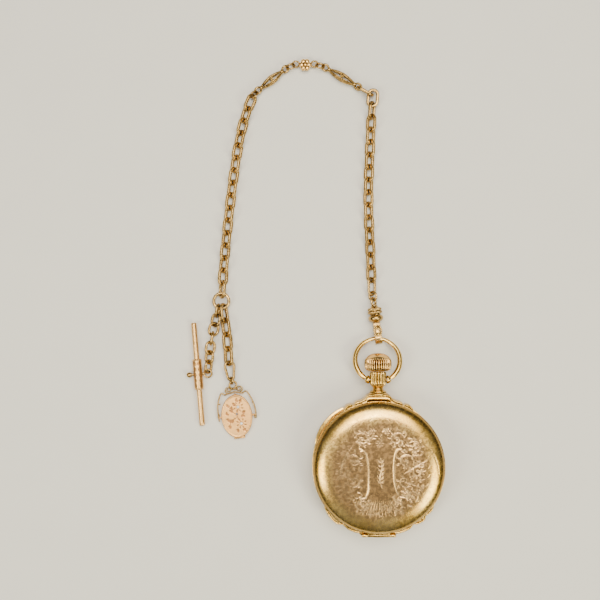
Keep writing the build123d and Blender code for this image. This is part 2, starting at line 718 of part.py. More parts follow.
with BuildPart() as minute_wheel:
    add(make_wheel(MINUTE_WORK, 36, MOTION_MODULE, 10.6, gap_phase(36, to_minute_work + 180), 0.3, 0, 0.2))
    add(make_wheel(MINUTE_WORK, 10, HOUR_MODULE, 10.8, to_minute_work + 180, 0.3, 0, 0.38))
save(minute_wheel, "minute_wheel")

with BuildPart() as hour_wheel:
    add(make_wheel(CENTRE, 40, HOUR_MODULE, 10.9, gap_phase(40, to_minute_work), 0.56, 0, 0.22))
    with BuildSketch(Plane((*CENTRE, 11.1))):
        Circle(0.95)
        Circle(0.56, mode=Mode.SUBTRACT)
    extrude(amount=1.25)
save(hour_wheel, "hour_wheel")

with BuildPart() as dial:
    with BuildSketch(Plane.XY.offset(DIAL_BOTTOM)):
        Circle(DIAL_R)
        Circle(1.1, mode=Mode.SUBTRACT)
        with Locations(FOURTH):
            Circle(0.4, mode=Mode.SUBTRACT)
    extrude(amount=DIAL_TOP - DIAL_BOTTOM)
    with BuildSketch(Plane.XY.offset(DIAL_TOP - 0.12)):
        with Locations(FOURTH):
            Circle(6.0)
            Circle(0.4, mode=Mode.SUBTRACT)
    extrude(amount=0.2, mode=Mode.SUBTRACT)
    with BuildSketch(Plane.XY.offset(PLATE_TOP)):
        with PolarLocations(19.5, 3, start_angle=15):
            Circle(0.5)
    extrude(amount=DIAL_BOTTOM - PLATE_TOP)
save(dial, "dial")

# Hands. Twelve o'clock is to the left, a quarter turn from the crown; the time is ten past ten.
HOUR_HAND_ANGLE = 180 - 304
MINUTE_HAND_ANGLE = 180 - 60


def make_hand(place, low, angle, length, width, hub, bore, tail):
    """A flat spade hand that points along an angle, with a hub and a short tail."""
    with BuildPart() as hand:
        with BuildSketch(Plane((place[0], place[1], low)).rotated((0, 0, angle))):
            Circle(hub)
            with BuildLine():
                Polyline(
                    (-tail, 0.3), (length * 0.62, width / 3), (length * 0.7, width),
                    (length * 0.8, width / 3), (length, 0), (length * 0.8, -width / 3),
                    (length * 0.7, -width), (length * 0.62, -width / 3), (-tail, -0.3), close=True,
                )
            make_face()
            Circle(bore, mode=Mode.SUBTRACT)
        extrude(amount=0.22)
    return hand


hour_hand = make_hand(CENTRE, 12.1, HOUR_HAND_ANGLE, 11.5, 1.5, 1.5, 0.96, 0)
save(hour_hand, "hour_hand")
minute_hand = make_hand(CENTRE, 12.65, MINUTE_HAND_ANGLE, 18.5, 1.1, 1.2, 0.51, 0)
save(minute_hand, "minute_hand")
seconds_hand = make_hand(FOURTH, 11.95, 140, 5.2, 0.3, 0.7, 0.31, 1.6)
save(seconds_hand, "seconds_hand")


# ================================================================ chain pieces
def link_body(length, width, bar, square):
    """A stadium-shaped link lying along X in the XY plane, with a square or a round section."""
    half_run = (length - width) / 2
    mean_r = (width - bar) / 2
    with BuildPart() as link:
        if square:
            with BuildSketch():
                SlotOverall(length, width)
                SlotOverall(length - 2 * bar, width - 2 * bar, mode=Mode.SUBTRACT)
            extrude(amount=bar / 2, both=True)
            chamfer(link.edges(), bar * 0.2)
        else:
            with BuildLine():
                Line((-half_run, mean_r), (half_run, mean_r))
                CenterArc((half_run, 0), mean_r, 90, -180)
                Line((half_run, -mean_r), (-half_run, -mean_r))
                CenterArc((-half_run, 0), mean_r, -90, -180)
            with BuildSketch(Plane((0, mean_r, 0), z_dir=(1, 0, 0))):
                Circle(bar / 2)
            sweep()
    return link.part


def ring_body(outer_d, wire):
    """A round ring in the XY plane."""
    with BuildPart() as ring:
        Torus(outer_d / 2 - wire / 2, wire / 2)
    return ring.part


def lie(point, along, roll):
    """A place whose X axis runs along a direction, rolled about it by an angle in degrees."""
    along = Vector(*along).normalized()
    side = Vector(-along.Y, along.X, 0).normalized()
    up = along.cross(side)
    facing = side * sin(radians(roll)) + up * cos(radians(roll))
    return Plane(point, x_dir=along, z_dir=facing)


def chain_places(points, rolls, start, finish):
    """Places for a run of links, one for each roll, evenly spaced along a route with set end directions."""
    route = Spline(*points, tangents=[start, finish])
    shares = [n / (len(rolls) - 1) for n in range(len(rolls))]
    return [lie(route @ share, route % share, roll).location for share, roll in zip(shares, rolls)]


main_link = link_body(LINK_LENGTH, LINK_WIDTH, LINK_BAR, True)
round_link = link_body(ROUND_LINK_LENGTH, ROUND_LINK_WIDTH, ROUND_LINK_WIRE, False)


def save_links(label, link, places):
    """Write a run of separate links as one node."""
    with BuildPart() as run:
        for place in places:
            add(link.moved(place))
    save(run, label)


def alternate(count, first_roll):
    """Rolls for links that lean one way and the other in turn."""
    return [first_roll if n % 2 == 0 else -first_roll for n in range(count)]


# Swivel: a clip round the bow, a gate that springs shut, and a turned barrel with an eye.
SWIVEL_TOP = Vector(-1.71, 70.66, 2.95)
bow_top = bow_plane.from_local_coords(Vector(0, BOW_RISE + BOW_MEAN_R, 0))
clip_origin = Vector(0.6, bow_top.Y, bow_top.Z)
swivel_along = (SWIVEL_TOP - clip_origin).normalized()
swivel_side = swivel_along.cross(Vector(0, 0, 1)).normalized()
clip_plane = Plane(clip_origin, x_dir=swivel_along, z_dir=swivel_side)
turned_plane = Plane(clip_origin, x_dir=swivel_along, z_dir=swivel_side.cross(swivel_along))
GATE_PIVOT = (4.0, 1.85)
with BuildPart() as swivel_hook:
    with BuildSketch(clip_plane):
        with Locations((1.85, 0)):
            SlotOverall(8.3, 5.0)
        with Locations((1.45, 0)):
            SlotOverall(5.3, 2.5, mode=Mode.SUBTRACT)
        with Locations((6.1, 0)):
            Rectangle(1.2, 2.4)
        with Locations((1.1, 1.2)):
            Rectangle(2.1, 2.0, align=(Align.MIN, Align.MIN), mode=Mode.SUBTRACT)
    extrude(amount=1.45, both=True)
    with BuildSketch(clip_plane):
        with Locations((3.1, 1.1)):
            Rectangle(1.6, 2.0, align=(Align.MIN, Align.MIN))
    extrude(amount=1.0, both=True, mode=Mode.SUBTRACT)
    with BuildSketch(clip_plane):
        with Locations(GATE_PIVOT):
            Circle(0.25)
    extrude(amount=2, both=True, mode=Mode.SUBTRACT)
save(swivel_hook, "swivel_hook")

with BuildPart() as swivel_gate:
    with BuildSketch(clip_plane):
        with Locations(GATE_PIVOT):
            Circle(0.55)
        with Locations((1.2, 1.4)):
            Rectangle(2.8, 0.9, align=(Align.MIN, Align.MIN))
    extrude(amount=0.9, both=True)
    with BuildSketch(clip_plane):
        with Locations(GATE_PIVOT):
            Circle(0.22)
    extrude(amount=1.4, both=True)
    with Locations(clip_plane.from_local_coords(Vector(1.9, 2.4, 0))):
        Sphere(0.65)
save(swivel_gate, "swivel_gate")

with BuildPart() as swivel_barrel:
    with BuildSketch(turned_plane):
        with BuildLine():
            Polyline((6.8, 0), (6.8, 1.5), (7.6, 2.5))
            ThreePointArc((7.6, 2.5), (8.6, 3.1), (9.7, 2.5))
            Polyline((9.7, 2.5), (10.0, 2.1), (10.5, 2.3), (10.7, 2.9), (11.5, 2.9), (11.7, 2.6))
            Polyline((11.7, 2.6), (11.9, 2.8), (12.9, 2.7), (13.2, 1.8), (14.0, 1.3), (14.0, 0), (6.8, 0))
        make_face()
    revolve(axis=Axis(clip_origin, swivel_along))
    with Locations(lie(clip_origin + swivel_along * 15.6, swivel_along, -55).location):
        Torus(1.65, 0.5)
save(swivel_barrel, "swivel_barrel")

# Connector: a round ring in the swivel's eye and one plain wire link.
eye_centre = clip_origin + swivel_along * 15.6
ring_centre = eye_centre + swivel_along * 2.4
plain_link = link_body(LINK_LENGTH, 4.4, 1.1, False)
link_centre = Vector(-2.1, ring_centre.Y + 4.1, CHAIN_Z + 0.15)
with BuildPart() as swivel_ring:
    add(ring_body(4.6, 0.95).moved(lie(ring_centre, swivel_along, 40).location))
    add(plain_link.moved(lie(link_centre, (-0.02, 1, 0), -35).location))
save(swivel_ring, "swivel_ring")

# Right-hand chain, up from the swivel to the corner.
right_start = link_centre.Y + 5.45
TOP_Z = 2.7
RIGHT_ROUTE = (
    (-2.3, right_start, CHAIN_Z),
    (-2.8, 92.0, CHAIN_Z),
    (-3.5, 112.0, CHAIN_Z),
    (-2.9, 131.0, CHAIN_Z),
    (-1.7, 154.0, TOP_Z),
)
RIGHT_ROLLS = (*alternate(13, 45), -60, 10)
right_places = chain_places(RIGHT_ROUTE, RIGHT_ROLLS, (-0.03, 1, 0), (0.08, 1, 0))
save_links("right_chain_lower", main_link, right_places[:8])
taper_along = Vector(-0.875, 0.484, 0)
corner_start = Vector(-1.85, 155.3, TOP_Z)
corner_centre = corner_start + taper_along * (LINK_LENGTH - LINK_BAR) / 2
RIGHT_CORNER = corner_start + taper_along * (LINK_LENGTH - LINK_BAR)
corner_place = lie(corner_centre, taper_along, -75).location
save_links("right_chain_upper", main_link, [*right_places[8:], corner_place])


def taper_link(label, ends, roll):
    """A long spindle with an eyelet at each end."""
    along = (ends[1] - ends[0]).normalized()
    length = (ends[1] - ends[0]).length
    plane = Plane(ends[0], x_dir=along, z_dir=(0, 0, 1))
    first, last = EYELET_D / 2 - 0.4, length - EYELET_D / 2 + 0.4
    middle = length / 2
    with BuildPart() as taper:
        with BuildSketch(plane):
            with BuildLine():
                Line((first, 0), (first, 0.5))
                Spline(
                    (first, 0.5), (middle * 0.55, 1.3), (middle, 2.0),
                    (length - middle * 0.55, 1.3), (last, 0.5),
                )
                Line((last, 0.5), (last, 0))
                Line((last, 0), (first, 0))
            make_face()
        revolve(axis=Axis(ends[0], along))
        for end in ends:
            add(ring_body(EYELET_D, EYELET_WIRE).moved(lie(end, along, roll).location))
    save(taper, label)


# Flower charm between two rings.
FLOWER = Vector(-30.2, 168.0, TOP_Z - 0.2)
LOOP_D = 3.6
LOOP_WIRE = 0.75
RIGHT_TO_LEFT = Vector(-1, 0, 0)
right_loop = FLOWER + Vector(3.95, 0.35, 0)
left_loop = FLOWER + Vector(-3.95, 0.3, 0)
with BuildPart() as flower_charm:
    with BuildSketch(Plane(FLOWER - Vector(0, 0, 0.6))):
        Circle(1.7)
        with PolarLocations(1.5, 6):
            Circle(1.1)
    extrude(amount=1.2)
    with BuildSketch(Plane(FLOWER - Vector(0, 0, 0.9))):
        Circle(0.9)
    extrude(amount=1.8)
    for loop in (right_loop, left_loop):
        add(ring_body(LOOP_D, LOOP_WIRE).moved(lie(loop, RIGHT_TO_LEFT, 45).location))
save(flower_charm, "flower_charm")

RING_D = 4.4
LOOP_REACH = (RING_D + LOOP_D) / 2 - 2 * LOOP_WIRE - 0.1
EYELET_REACH = (RING_D + EYELET_D) / 2 - LOOP_WIRE - EYELET_WIRE - 0.1
right_taper_way = Vector(0.966, -0.258, 0)
left_taper_way = Vector(-0.927, -0.375, 0)
right_ring = right_loop + right_taper_way * LOOP_REACH
left_ring = left_loop + left_taper_way * LOOP_REACH
with BuildPart() as charm_rings:
    for centre, along in ((right_ring, -right_taper_way), (left_ring, left_taper_way)):
        add(ring_body(RING_D, LOOP_WIRE).moved(lie(centre, along, -45).location))
save(charm_rings, "charm_rings")
TAPER_LEFT = (left_ring + left_taper_way * EYELET_REACH, Vector(-50.2, 157.0, CHAIN_Z))
TAPER_RIGHT = (RIGHT_CORNER, right_ring + right_taper_way * EYELET_REACH)
taper_link("right_taper_link", TAPER_RIGHT, 45)
taper_link("left_taper_link", TAPER_LEFT, 45)

# Left-hand chain, down to the jump ring. A small ring joins it to its spindle.
left_along = (TAPER_LEFT[1] - TAPER_LEFT[0]).normalized()
small_ring = TAPER_LEFT[1] + left_along * 2.2
first_left = small_ring + Vector(-0.39, -0.92, 0) * 3.85
JUMP = Vector(-65.6, 68.4, 2.6)
JUMP_D = 7.7
JUMP_WIRE = 1.3
LEFT_ROUTE = (
    (first_left.X, first_left.Y, CHAIN_Z),
    (-56.4, 143.1, CHAIN_Z),
    (-59.7, 126.0, CHAIN_Z),
    (-62.6, 103.0, CHAIN_Z),
    (-64.2, 87.4, CHAIN_Z),
    (-65.2, JUMP.Y + 4.95, JUMP.Z),
)
LEFT_ROLLS = (*alternate(15, 45), -60)
left_places = chain_places(LEFT_ROUTE, LEFT_ROLLS, (-0.39, -0.92, 0), (-0.06, -1, 0))
with BuildPart() as left_chain_upper:
    add(ring_body(4.4, 0.8).moved(lie(small_ring, left_along, -45).location))
    for place in left_places[:8]:
        add(main_link.moved(place))
save(left_chain_upper, "left_chain_upper")
save_links("left_chain_lower", main_link, left_places[8:])

with BuildPart() as jump_ring:
    add(ring_body(JUMP_D, JUMP_WIRE).moved(Location(JUMP)))
save(jump_ring, "jump_ring")

# T-bar on its round-link chain.
TBAR_Z = 2.0
TBAR_CENTRE = Vector(-75.5, 37.45, TBAR_Z)
TBAR_TILT = 4.8
bar_up = Vector(-sin(radians(TBAR_TILT)), cos(radians(TBAR_TILT)), 0)
bar_side = Vector(cos(radians(TBAR_TILT)), sin(radians(TBAR_TILT)), 0)
EYE_REACH = 4.2
eye_place = TBAR_CENTRE + bar_side * EYE_REACH
tbar_way = Vector(-0.62, -0.785, 0)
tbar_start = Vector(-0.15, -0.99, 0)
round_half = (ROUND_LINK_LENGTH - ROUND_LINK_WIRE) / 2
first_round = JUMP + tbar_way * (JUMP_D / 2 - JUMP_WIRE - 0.65) + tbar_start * round_half
T_ROUTE = (
    (first_round.X, first_round.Y, JUMP.Z),
    (-68.8, 56.5, 2.6),
    (-70.2, 49.0, 2.6),
    (eye_place.X + 0.3, eye_place.Y + 0.3 + round_half, 2.4),
)
t_places = chain_places(T_ROUTE, (80, -35, 30, 95, 35, -40, 60), tbar_start, (-0.1, -1, 0))
save_links("t_bar_chain", round_link, t_places)

with BuildPart() as t_bar_eye:
    with BuildSketch(Plane(TBAR_CENTRE - bar_side * 3.6, x_dir=bar_up, z_dir=bar_side)):
        Circle(0.5)
    extrude(amount=3.6 + EYE_REACH - 1.6)
    with BuildSketch(Plane(TBAR_CENTRE - bar_side * 4.4, x_dir=bar_up, z_dir=bar_side)):
        Circle(0.9)
    extrude(amount=1.7)
    chamfer(t_bar_eye.faces().sort_by(Axis(TBAR_CENTRE, bar_side))[0].edges(), 0.4)
    add(ring_body(4.0, 0.8).moved(lie(eye_place, bar_up, 0).location))
save(t_bar_eye, "t_bar_eye")

COLLAR_HALF = 6.2
COLLAR_R = 1.95
with BuildPart() as t_bar:
    with BuildSketch(Plane(TBAR_CENTRE, x_dir=bar_up, z_dir=(0, 0, 1))):
        with BuildLine():
            Polyline(
                (-TBAR_LENGTH / 2, 0), (-TBAR_LENGTH / 2, TBAR_R - 0.2), (-TBAR_LENGTH / 2 + 0.2, TBAR_R),
                (-COLLAR_HALF - 0.2, TBAR_R), (-COLLAR_HALF, COLLAR_R), (COLLAR_HALF, COLLAR_R),
                (COLLAR_HALF + 0.2, TBAR_R), (TBAR_LENGTH / 2 - 0.2, TBAR_R),
                (TBAR_LENGTH / 2, TBAR_R - 0.2), (TBAR_LENGTH / 2, 0), close=True,
            )
        make_face()
    revolve(axis=Axis(TBAR_CENTRE, bar_up))
    with BuildSketch(Plane(TBAR_CENTRE, x_dir=bar_up, z_dir=bar_side)):
        Circle(0.55)
    extrude(amount=5, both=True, mode=Mode.SUBTRACT)
save(t_bar, "t_bar")

# Fob on its short chain.
fob_link = link_body(FOB_LINK_LENGTH, LINK_WIDTH, LINK_BAR, True)
FOB_TILT = 5.5
fob_way = Vector(0.42, -0.907, 0)
fob_start = Vector(0.15, -0.99, 0)
first_fob = JUMP + fob_way * (JUMP_D / 2 - JUMP_WIRE - 0.95) + fob_start * (FOB_LINK_LENGTH - LINK_BAR) / 2
FOB_ROUTE = (
    (first_fob.X, first_fob.Y, JUMP.Z),
    (-63.6, first_fob.Y - 6.0, CHAIN_Z),
    (-63.0, first_fob.Y - 12.0, CHAIN_Z),
    (-62.6, first_fob.Y - 18.0, CHAIN_Z),
)
fob_places = chain_places(FOB_ROUTE, (60, -45, 45, -45), fob_start, (0.05, -1, 0))
save_links("fob_chain", fob_link, fob_places)

PEAR_LENGTH = 8.9
PEAR_WIRE = 1.1
PEAR_TOP_R = 2.05
PEAR_END_R = 1.3
PEAR_SLOPE = 80
pear_top = Vector(-62.4, first_fob.Y - 18.0 - (FOB_LINK_LENGTH - LINK_BAR) / 2 + 1.4, CHAIN_Z)
pear_way = Vector(0.12, -1, 0).normalized()
pear_plane = lie(pear_top, pear_way, 25)
pear_end_x = PEAR_LENGTH - PEAR_WIRE - PEAR_END_R
pear_run = (cos(radians(PEAR_SLOPE)), sin(radians(PEAR_SLOPE)))
with BuildPart() as pear_link:
    with BuildLine(pear_plane) as pear_line:
        CenterArc((PEAR_TOP_R, 0), PEAR_TOP_R, PEAR_SLOPE, 360 - 2 * PEAR_SLOPE)
        CenterArc((pear_end_x, 0), PEAR_END_R, -PEAR_SLOPE, 2 * PEAR_SLOPE)
        for side in (-1, 1):
            Line(
                (PEAR_TOP_R + PEAR_TOP_R * pear_run[0], side * PEAR_TOP_R * pear_run[1]),
                (pear_end_x + PEAR_END_R * pear_run[0], side * PEAR_END_R * pear_run[1]),
            )
    with BuildSketch(Plane(pear_line.line @ 0, z_dir=pear_line.line % 0)):
        Circle(PEAR_WIRE / 2)
    sweep()
pear_end = pear_top + pear_way * (PEAR_LENGTH - PEAR_WIRE)
fob_small = pear_end + Vector(0.05, -0.3, 0)

FOB_Z = 1.5
FOB_CENTRE = Vector(-59.1, 19.7, FOB_Z)
fob_up = Vector(-sin(radians(FOB_TILT)), cos(radians(FOB_TILT)), 0)
fob_plane = Plane(FOB_CENTRE, x_dir=fob_up.cross(Vector(0, 0, 1)), z_dir=(0, 0, 1))
HANGER_REACH = 11.6
hanger = FOB_CENTRE + fob_up * HANGER_REACH
fob_ring_centre = hanger + (fob_small - hanger).normalized() * 1.83
with BuildPart() as fob_rings:
    add(pear_link.part)
    add(ring_body(3.6, 0.75).moved(lie(fob_small, (0.1, -1, 0), -65).location))
    add(ring_body(3.9, 0.8).moved(lie(fob_ring_centre, hanger - fob_small, 20).location))
save(fob_rings, "fob_rings")

MEDAL_X = 6.5
MEDAL_Y = 9.1
FRAME_WIRE_R = 0.32
with BuildPart() as fob_frame:
    with BuildLine(fob_plane) as frame_line:
        FilletPolyline(
            (-7.7, 0), (-8.1, 4.6), (-6.6, 9.4), (-4.4, 8.6), (-2.4, 10.4),
            (2.4, 10.4), (4.4, 8.6), (6.6, 9.4), (8.1, 4.6), (7.7, 0),
            radius=0.5,
        )
    with BuildSketch(Plane(frame_line.line @ 0, z_dir=frame_line.line % 0)):
        Circle(FRAME_WIRE_R)
    sweep()
    with Locations(lie(hanger, fob_up, 90)):
        Torus(1.1, 0.32)
    with Locations(fob_plane):
        for side in (-1, 1):
            with Locations(Location((side * 7.7, 0, 0), (0, 90, 0))):
                Cylinder(0.75, 0.7)
                Cylinder(0.4, 2, mode=Mode.SUBTRACT)
save(fob_frame, "fob_frame")

with BuildPart() as fob_medallion:
    with BuildSketch(fob_plane):
        Ellipse(MEDAL_X, MEDAL_Y)
    extrude(amount=1.1, both=True)
    chamfer(fob_medallion.edges(), 0.3)
    with Locations(fob_plane):
        for side in (-1, 1):
            with Locations(Location((side * 7.2, 0, 0), (0, 90, 0))):
                Cylinder(0.34, 2.0)
save(fob_medallion, "fob_medallion")
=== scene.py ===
"""Looks of the hunter pocket watch and its vest chain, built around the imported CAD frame."""

import json
from math import asin, atan2, cos, degrees, pi, radians, sin, sqrt

import bpy
import bmesh
import numpy as np
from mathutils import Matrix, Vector
from mathutils.bvhtree import BVHTree


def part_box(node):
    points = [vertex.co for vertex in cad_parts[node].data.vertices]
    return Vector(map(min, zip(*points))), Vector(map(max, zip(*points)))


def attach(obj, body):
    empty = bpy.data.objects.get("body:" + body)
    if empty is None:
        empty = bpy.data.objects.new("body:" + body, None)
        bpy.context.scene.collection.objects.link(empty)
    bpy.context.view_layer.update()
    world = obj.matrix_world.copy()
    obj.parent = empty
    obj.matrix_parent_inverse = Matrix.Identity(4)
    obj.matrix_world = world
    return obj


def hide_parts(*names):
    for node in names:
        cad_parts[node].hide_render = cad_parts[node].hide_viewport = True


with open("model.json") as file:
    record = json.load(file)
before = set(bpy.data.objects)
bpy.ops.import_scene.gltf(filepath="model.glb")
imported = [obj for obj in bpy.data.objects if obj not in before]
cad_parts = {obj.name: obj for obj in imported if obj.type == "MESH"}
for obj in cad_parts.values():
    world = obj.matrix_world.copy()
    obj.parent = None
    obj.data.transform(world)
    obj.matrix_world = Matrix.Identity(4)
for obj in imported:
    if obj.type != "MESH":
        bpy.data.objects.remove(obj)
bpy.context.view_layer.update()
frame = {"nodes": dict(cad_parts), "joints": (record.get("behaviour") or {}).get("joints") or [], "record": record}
CAD = frame["nodes"]
JOINTS = {j["name"]: j for j in frame["joints"]}
MM = 0.001  # one millimetre in the frame's metres
rng = np.random.default_rng(11)


# --- materials
class Tree:
    """Small helper that adds shader nodes and links them."""

    def __init__(self, name):
        self.material = bpy.data.materials.new(name)
        self.material.use_nodes = True
        self.nodes = self.material.node_tree.nodes
        self.links = self.material.node_tree.links
        self.shader = self.nodes["Principled BSDF"]
        self.coords = self.nodes.new("ShaderNodeTexCoord").outputs["Object"]

    def feed(self, inlet, value):
        if isinstance(value, bpy.types.NodeSocket):
            self.links.new(value, inlet)
        else:
            inlet.default_value = value

    def add(self, kind, inputs, **settings):
        """A new node with its settings made and its inputs set or linked; returns its outputs."""
        node = self.nodes.new(kind)
        for key, value in settings.items():
            setattr(node, key, value)
        for key, value in inputs.items():
            self.feed(node.inputs[key], value)
        return node.outputs

    def surface(self, **inputs):
        """Set or link inputs of the shader; an underscore stands for a space."""
        for key, value in inputs.items():
            self.feed(self.shader.inputs[key.replace("_", " ")], value)

    def noise(self, scale, detail=4, rough=0.55, stretch=None):
        source = self.coords
        if stretch:
            source = self.add("ShaderNodeMapping", {0: source, "Scale": stretch[0], "Rotation": stretch[1]})["Vector"]
        inputs = {"Vector": source, "Scale": scale, "Detail": detail, "Roughness": rough}
        return self.add("ShaderNodeTexNoise", inputs)["Fac"]

    def ramp(self, fac, low, high, to_low=0.0, to_high=1.0):
        inputs = {"Value": fac, "From Min": low, "From Max": high, "To Min": to_low, "To Max": to_high}
        return self.add("ShaderNodeMapRange", inputs, interpolation_type="SMOOTHSTEP")["Result"]

    def mix(self, fac, a, b):
        """Blend two colours; a Mix node keeps its colour inlets at 6 and 7 and its colour outlet at 2."""
        a, b = (v if isinstance(v, bpy.types.NodeSocket) else (*v, 1) for v in (a, b))
        return self.add("ShaderNodeMix", {0: fac, 6: a, 7: b}, data_type="RGBA")[2]

    def maths(self, operation, a, b=0.0):
        return self.add("ShaderNodeMath", {0: a, 1: b}, operation=operation)[0]

    def crevice(self, distance):
        return self.add("ShaderNodeAmbientOcclusion", {"Distance": distance}, samples=6)["AO"]

    def attribute(self, name):
        return self.add("ShaderNodeAttribute", {}, attribute_name=name)["Fac"]

    def bump(self, height, strength, distance):
        inputs = {"Strength": strength, "Distance": distance, "Height": height}
        self.surface(Normal=self.add("ShaderNodeBump", inputs)["Normal"])


# Colour of the painted dark reflection in a ring by the lid's rim.
PAINTED_RIM_REFLECTION = (0.24, 0.135, 0.035)


def gold(name, bright, warm, dirt_and_shade, rough=(0.16, 0.34), crevice=0.0006, scratch=0.06, engraved=None, centre=None):
    """Worn gold: bright and warm tints drift, dirt speckles it, painted shade darkens its crevices, and fine scratches
    cross it.

    engraved is (colour of the cuts, its strength); a bright cut colour is a painted highlight on the cuts.
    centre is (place, inner radius, outer radius, tint) of a middle field painted in the tint as dark reflection,
    outside which the metal is bright up to a ring of painted dark reflection by the rim.
    """
    t = Tree(name)
    colour = t.mix(t.ramp(t.noise(90, 3), 0.35, 0.65), bright, warm)
    if centre:
        # Painted reflection: the middle is tinted as the dark surroundings mirrored in a flat lid, and a dark ring by
        # the rim stands for the dark band reflected there.
        spot, inner, outer, tint = centre
        flat = t.add("ShaderNodeVectorMath", {0: t.coords, 1: (1, 1, 0)}, operation="MULTIPLY")[0]
        away = t.add("ShaderNodeVectorMath", {0: flat, 1: (*spot, 0)}, operation="DISTANCE")["Value"]
        ragged = t.maths("MULTIPLY", t.maths("SUBTRACT", t.noise(160, 4), 0.5), 0.007)
        colour = t.mix(t.ramp(t.maths("ADD", away, ragged), inner, outer, 1.0, 0.0), colour, tint)
        colour = t.mix(t.ramp(away, outer - 0.0005, outer + 0.0022, 0.0, 0.75), colour, PAINTED_RIM_REFLECTION)
    colour = t.mix(t.ramp(t.noise(900, 5, 0.7), 0.56, 0.74, 0, 0.35), colour, dirt_and_shade)
    # Painted shade: the colour darkens towards the dark colour where ambient occlusion finds crevices and hollows.
    colour = t.mix(t.ramp(t.crevice(crevice), 0.35, 0.95, 0.85, 0.0), colour, dirt_and_shade)
    if engraved:
        # A bright cut colour, as on the lid, is a painted highlight on the engraved lines.
        cut_colour, amount = engraved
        colour = t.mix(t.maths("MULTIPLY", t.attribute("cut"), amount), colour, cut_colour)
    grain = t.noise(700, 6, 0.7)
    t.surface(Base_Color=colour, Metallic=1.0, Roughness=t.ramp(grain, 0.3, 0.75, *rough))
    lines = t.noise(60, 8, 0.75, ((1, 26, 1), (0, 0, 0.5)))
    cross = t.noise(60, 8, 0.75, ((30, 1, 1), (0, 0.3, 0.2)))
    t.bump(t.maths("ADD", t.maths("ADD", lines, cross), t.maths("MULTIPLY", grain, 0.5)), scratch, 0.00006)
    return t.material


def plain_metal(name, bright, dark, rough=(0.15, 0.35), stripes=0.0):
    """Steel or brass movement metal, with an optional striped finish."""
    t = Tree(name)
    height = grain = t.noise(1200, 5, 0.6)
    t.surface(Base_Color=t.mix(t.ramp(t.noise(1500, 4), 0.35, 0.7), bright, dark), Metallic=1.0,
              Roughness=t.ramp(grain, 0.3, 0.7, *rough))
    if stripes:
        inputs = {"Scale": 260, "Distortion": 0.4, "Vector": t.coords}
        wave = t.add("ShaderNodeTexWave", inputs, bands_direction="DIAGONAL")
        height = t.maths("ADD", t.maths("MULTIPLY", wave["Fac"], stripes), grain)
    t.bump(height, 0.15, 0.00005)
    return t.material


def enamel(name, colour, dark):
    t = Tree(name)
    t.surface(Base_Color=t.mix(t.ramp(t.noise(300, 3), 0.4, 0.7), colour, dark),
              Roughness=t.ramp(t.noise(2000, 3), 0.3, 0.7, 0.1, 0.2), Coat_Weight=0.5)
    return t.material


def stone(name, colour, dark):
    t = Tree(name)
    t.surface(Base_Color=t.mix(t.ramp(t.noise(2600, 2), 0.35, 0.65), colour, dark), Roughness=0.06, IOR=2.0,
              Coat_Weight=0.8)
    return t.material


def clear_glass(name):
    t = Tree(name)
    t.surface(Base_Color=t.mix(t.noise(200, 2), (0.97, 0.99, 1.0), (0.93, 0.96, 0.97)), Roughness=0.02, IOR=1.5,
              Transmission_Weight=1.0)
    return t.material


lid_low, lid_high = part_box("front_lid")
band_low, band_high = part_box("case_band")
LID_X = (band_low.x + band_high.x) / 2
LID_Y = (band_low.y + band_high.y) / 2
CASE_X, CASE_Y = LID_X / MM, LID_Y / MM

YELLOW = (0.70, 0.42, 0.085)
PALE = (0.82, 0.55, 0.17)
# Tint of the lid's middle, a painted dark reflection.
ROSE_PAINTED_REFLECTION = (0.40, 0.235, 0.095)
# Dark colour of both dirt speckles and painted shade in crevices.
GRIME_AND_SHADE = (0.07, 0.036, 0.010)
# In every gold the third colour darkens both random dirt speckles and the painted shade of crevices.
case_gold = gold("worn_case_gold", YELLOW, PALE, GRIME_AND_SHADE, rough=(0.14, 0.28), scratch=0.03)
# The centre entry paints the lid's dark reflection. It is moved down, so the dark ring is wider at the top and the rose
# middle reaches further down.
# The lid's pale cut colour is a painted highlight on its engraved lines.
lid_gold = gold("engraved_lid_gold", YELLOW, PALE, GRIME_AND_SHADE, rough=(0.18, 0.36), crevice=0.0002,
                engraved=((0.88, 0.60, 0.28), 0.55), centre=((LID_X, LID_Y - 0.0009), 0.0178, 0.0245, ROSE_PAINTED_REFLECTION))
crown_gold = gold("worn_crown_gold", (0.74, 0.43, 0.13), (0.82, 0.52, 0.20), (0.05, 0.025, 0.008), rough=(0.16, 0.3),
                  crevice=0.0016, scratch=0.02)
chain_gold = gold("aged_chain_gold", (0.43, 0.27, 0.09), (0.58, 0.38, 0.14), (0.05, 0.028, 0.010), rough=(0.2, 0.38),
                  crevice=0.001)
medal_gold = gold("satin_medallion_gold", (0.90, 0.51, 0.19), (0.82, 0.44, 0.155), (0.16, 0.07, 0.025),
                  rough=(0.36, 0.52), crevice=0.0003, engraved=((0.30, 0.13, 0.05), 0.9))
bar_gold = gold("satin_bar_gold", (0.90, 0.56, 0.23), (0.80, 0.48, 0.19), (0.12, 0.06, 0.025), rough=(0.26, 0.42),
                crevice=0.0005, engraved=((0.38, 0.17, 0.06), 0.85))
dark_wire = gold("dark_fob_wire", (0.38, 0.24, 0.09), (0.52, 0.35, 0.15), (0.03, 0.02, 0.012), rough=(0.25, 0.42))
steel = plain_metal("polished_steel", (0.66, 0.66, 0.65), (0.5, 0.5, 0.5))
gilt = plain_metal("frosted_gilt", (0.78, 0.62, 0.34), (0.66, 0.5, 0.26), rough=(0.35, 0.55), stripes=1.6)
brass = plain_metal("wheel_brass", (0.82, 0.64, 0.3), (0.72, 0.54, 0.24))
blued = plain_metal("blued_steel_looks", (0.03, 0.06, 0.26), (0.02, 0.03, 0.14), rough=(0.14, 0.26))
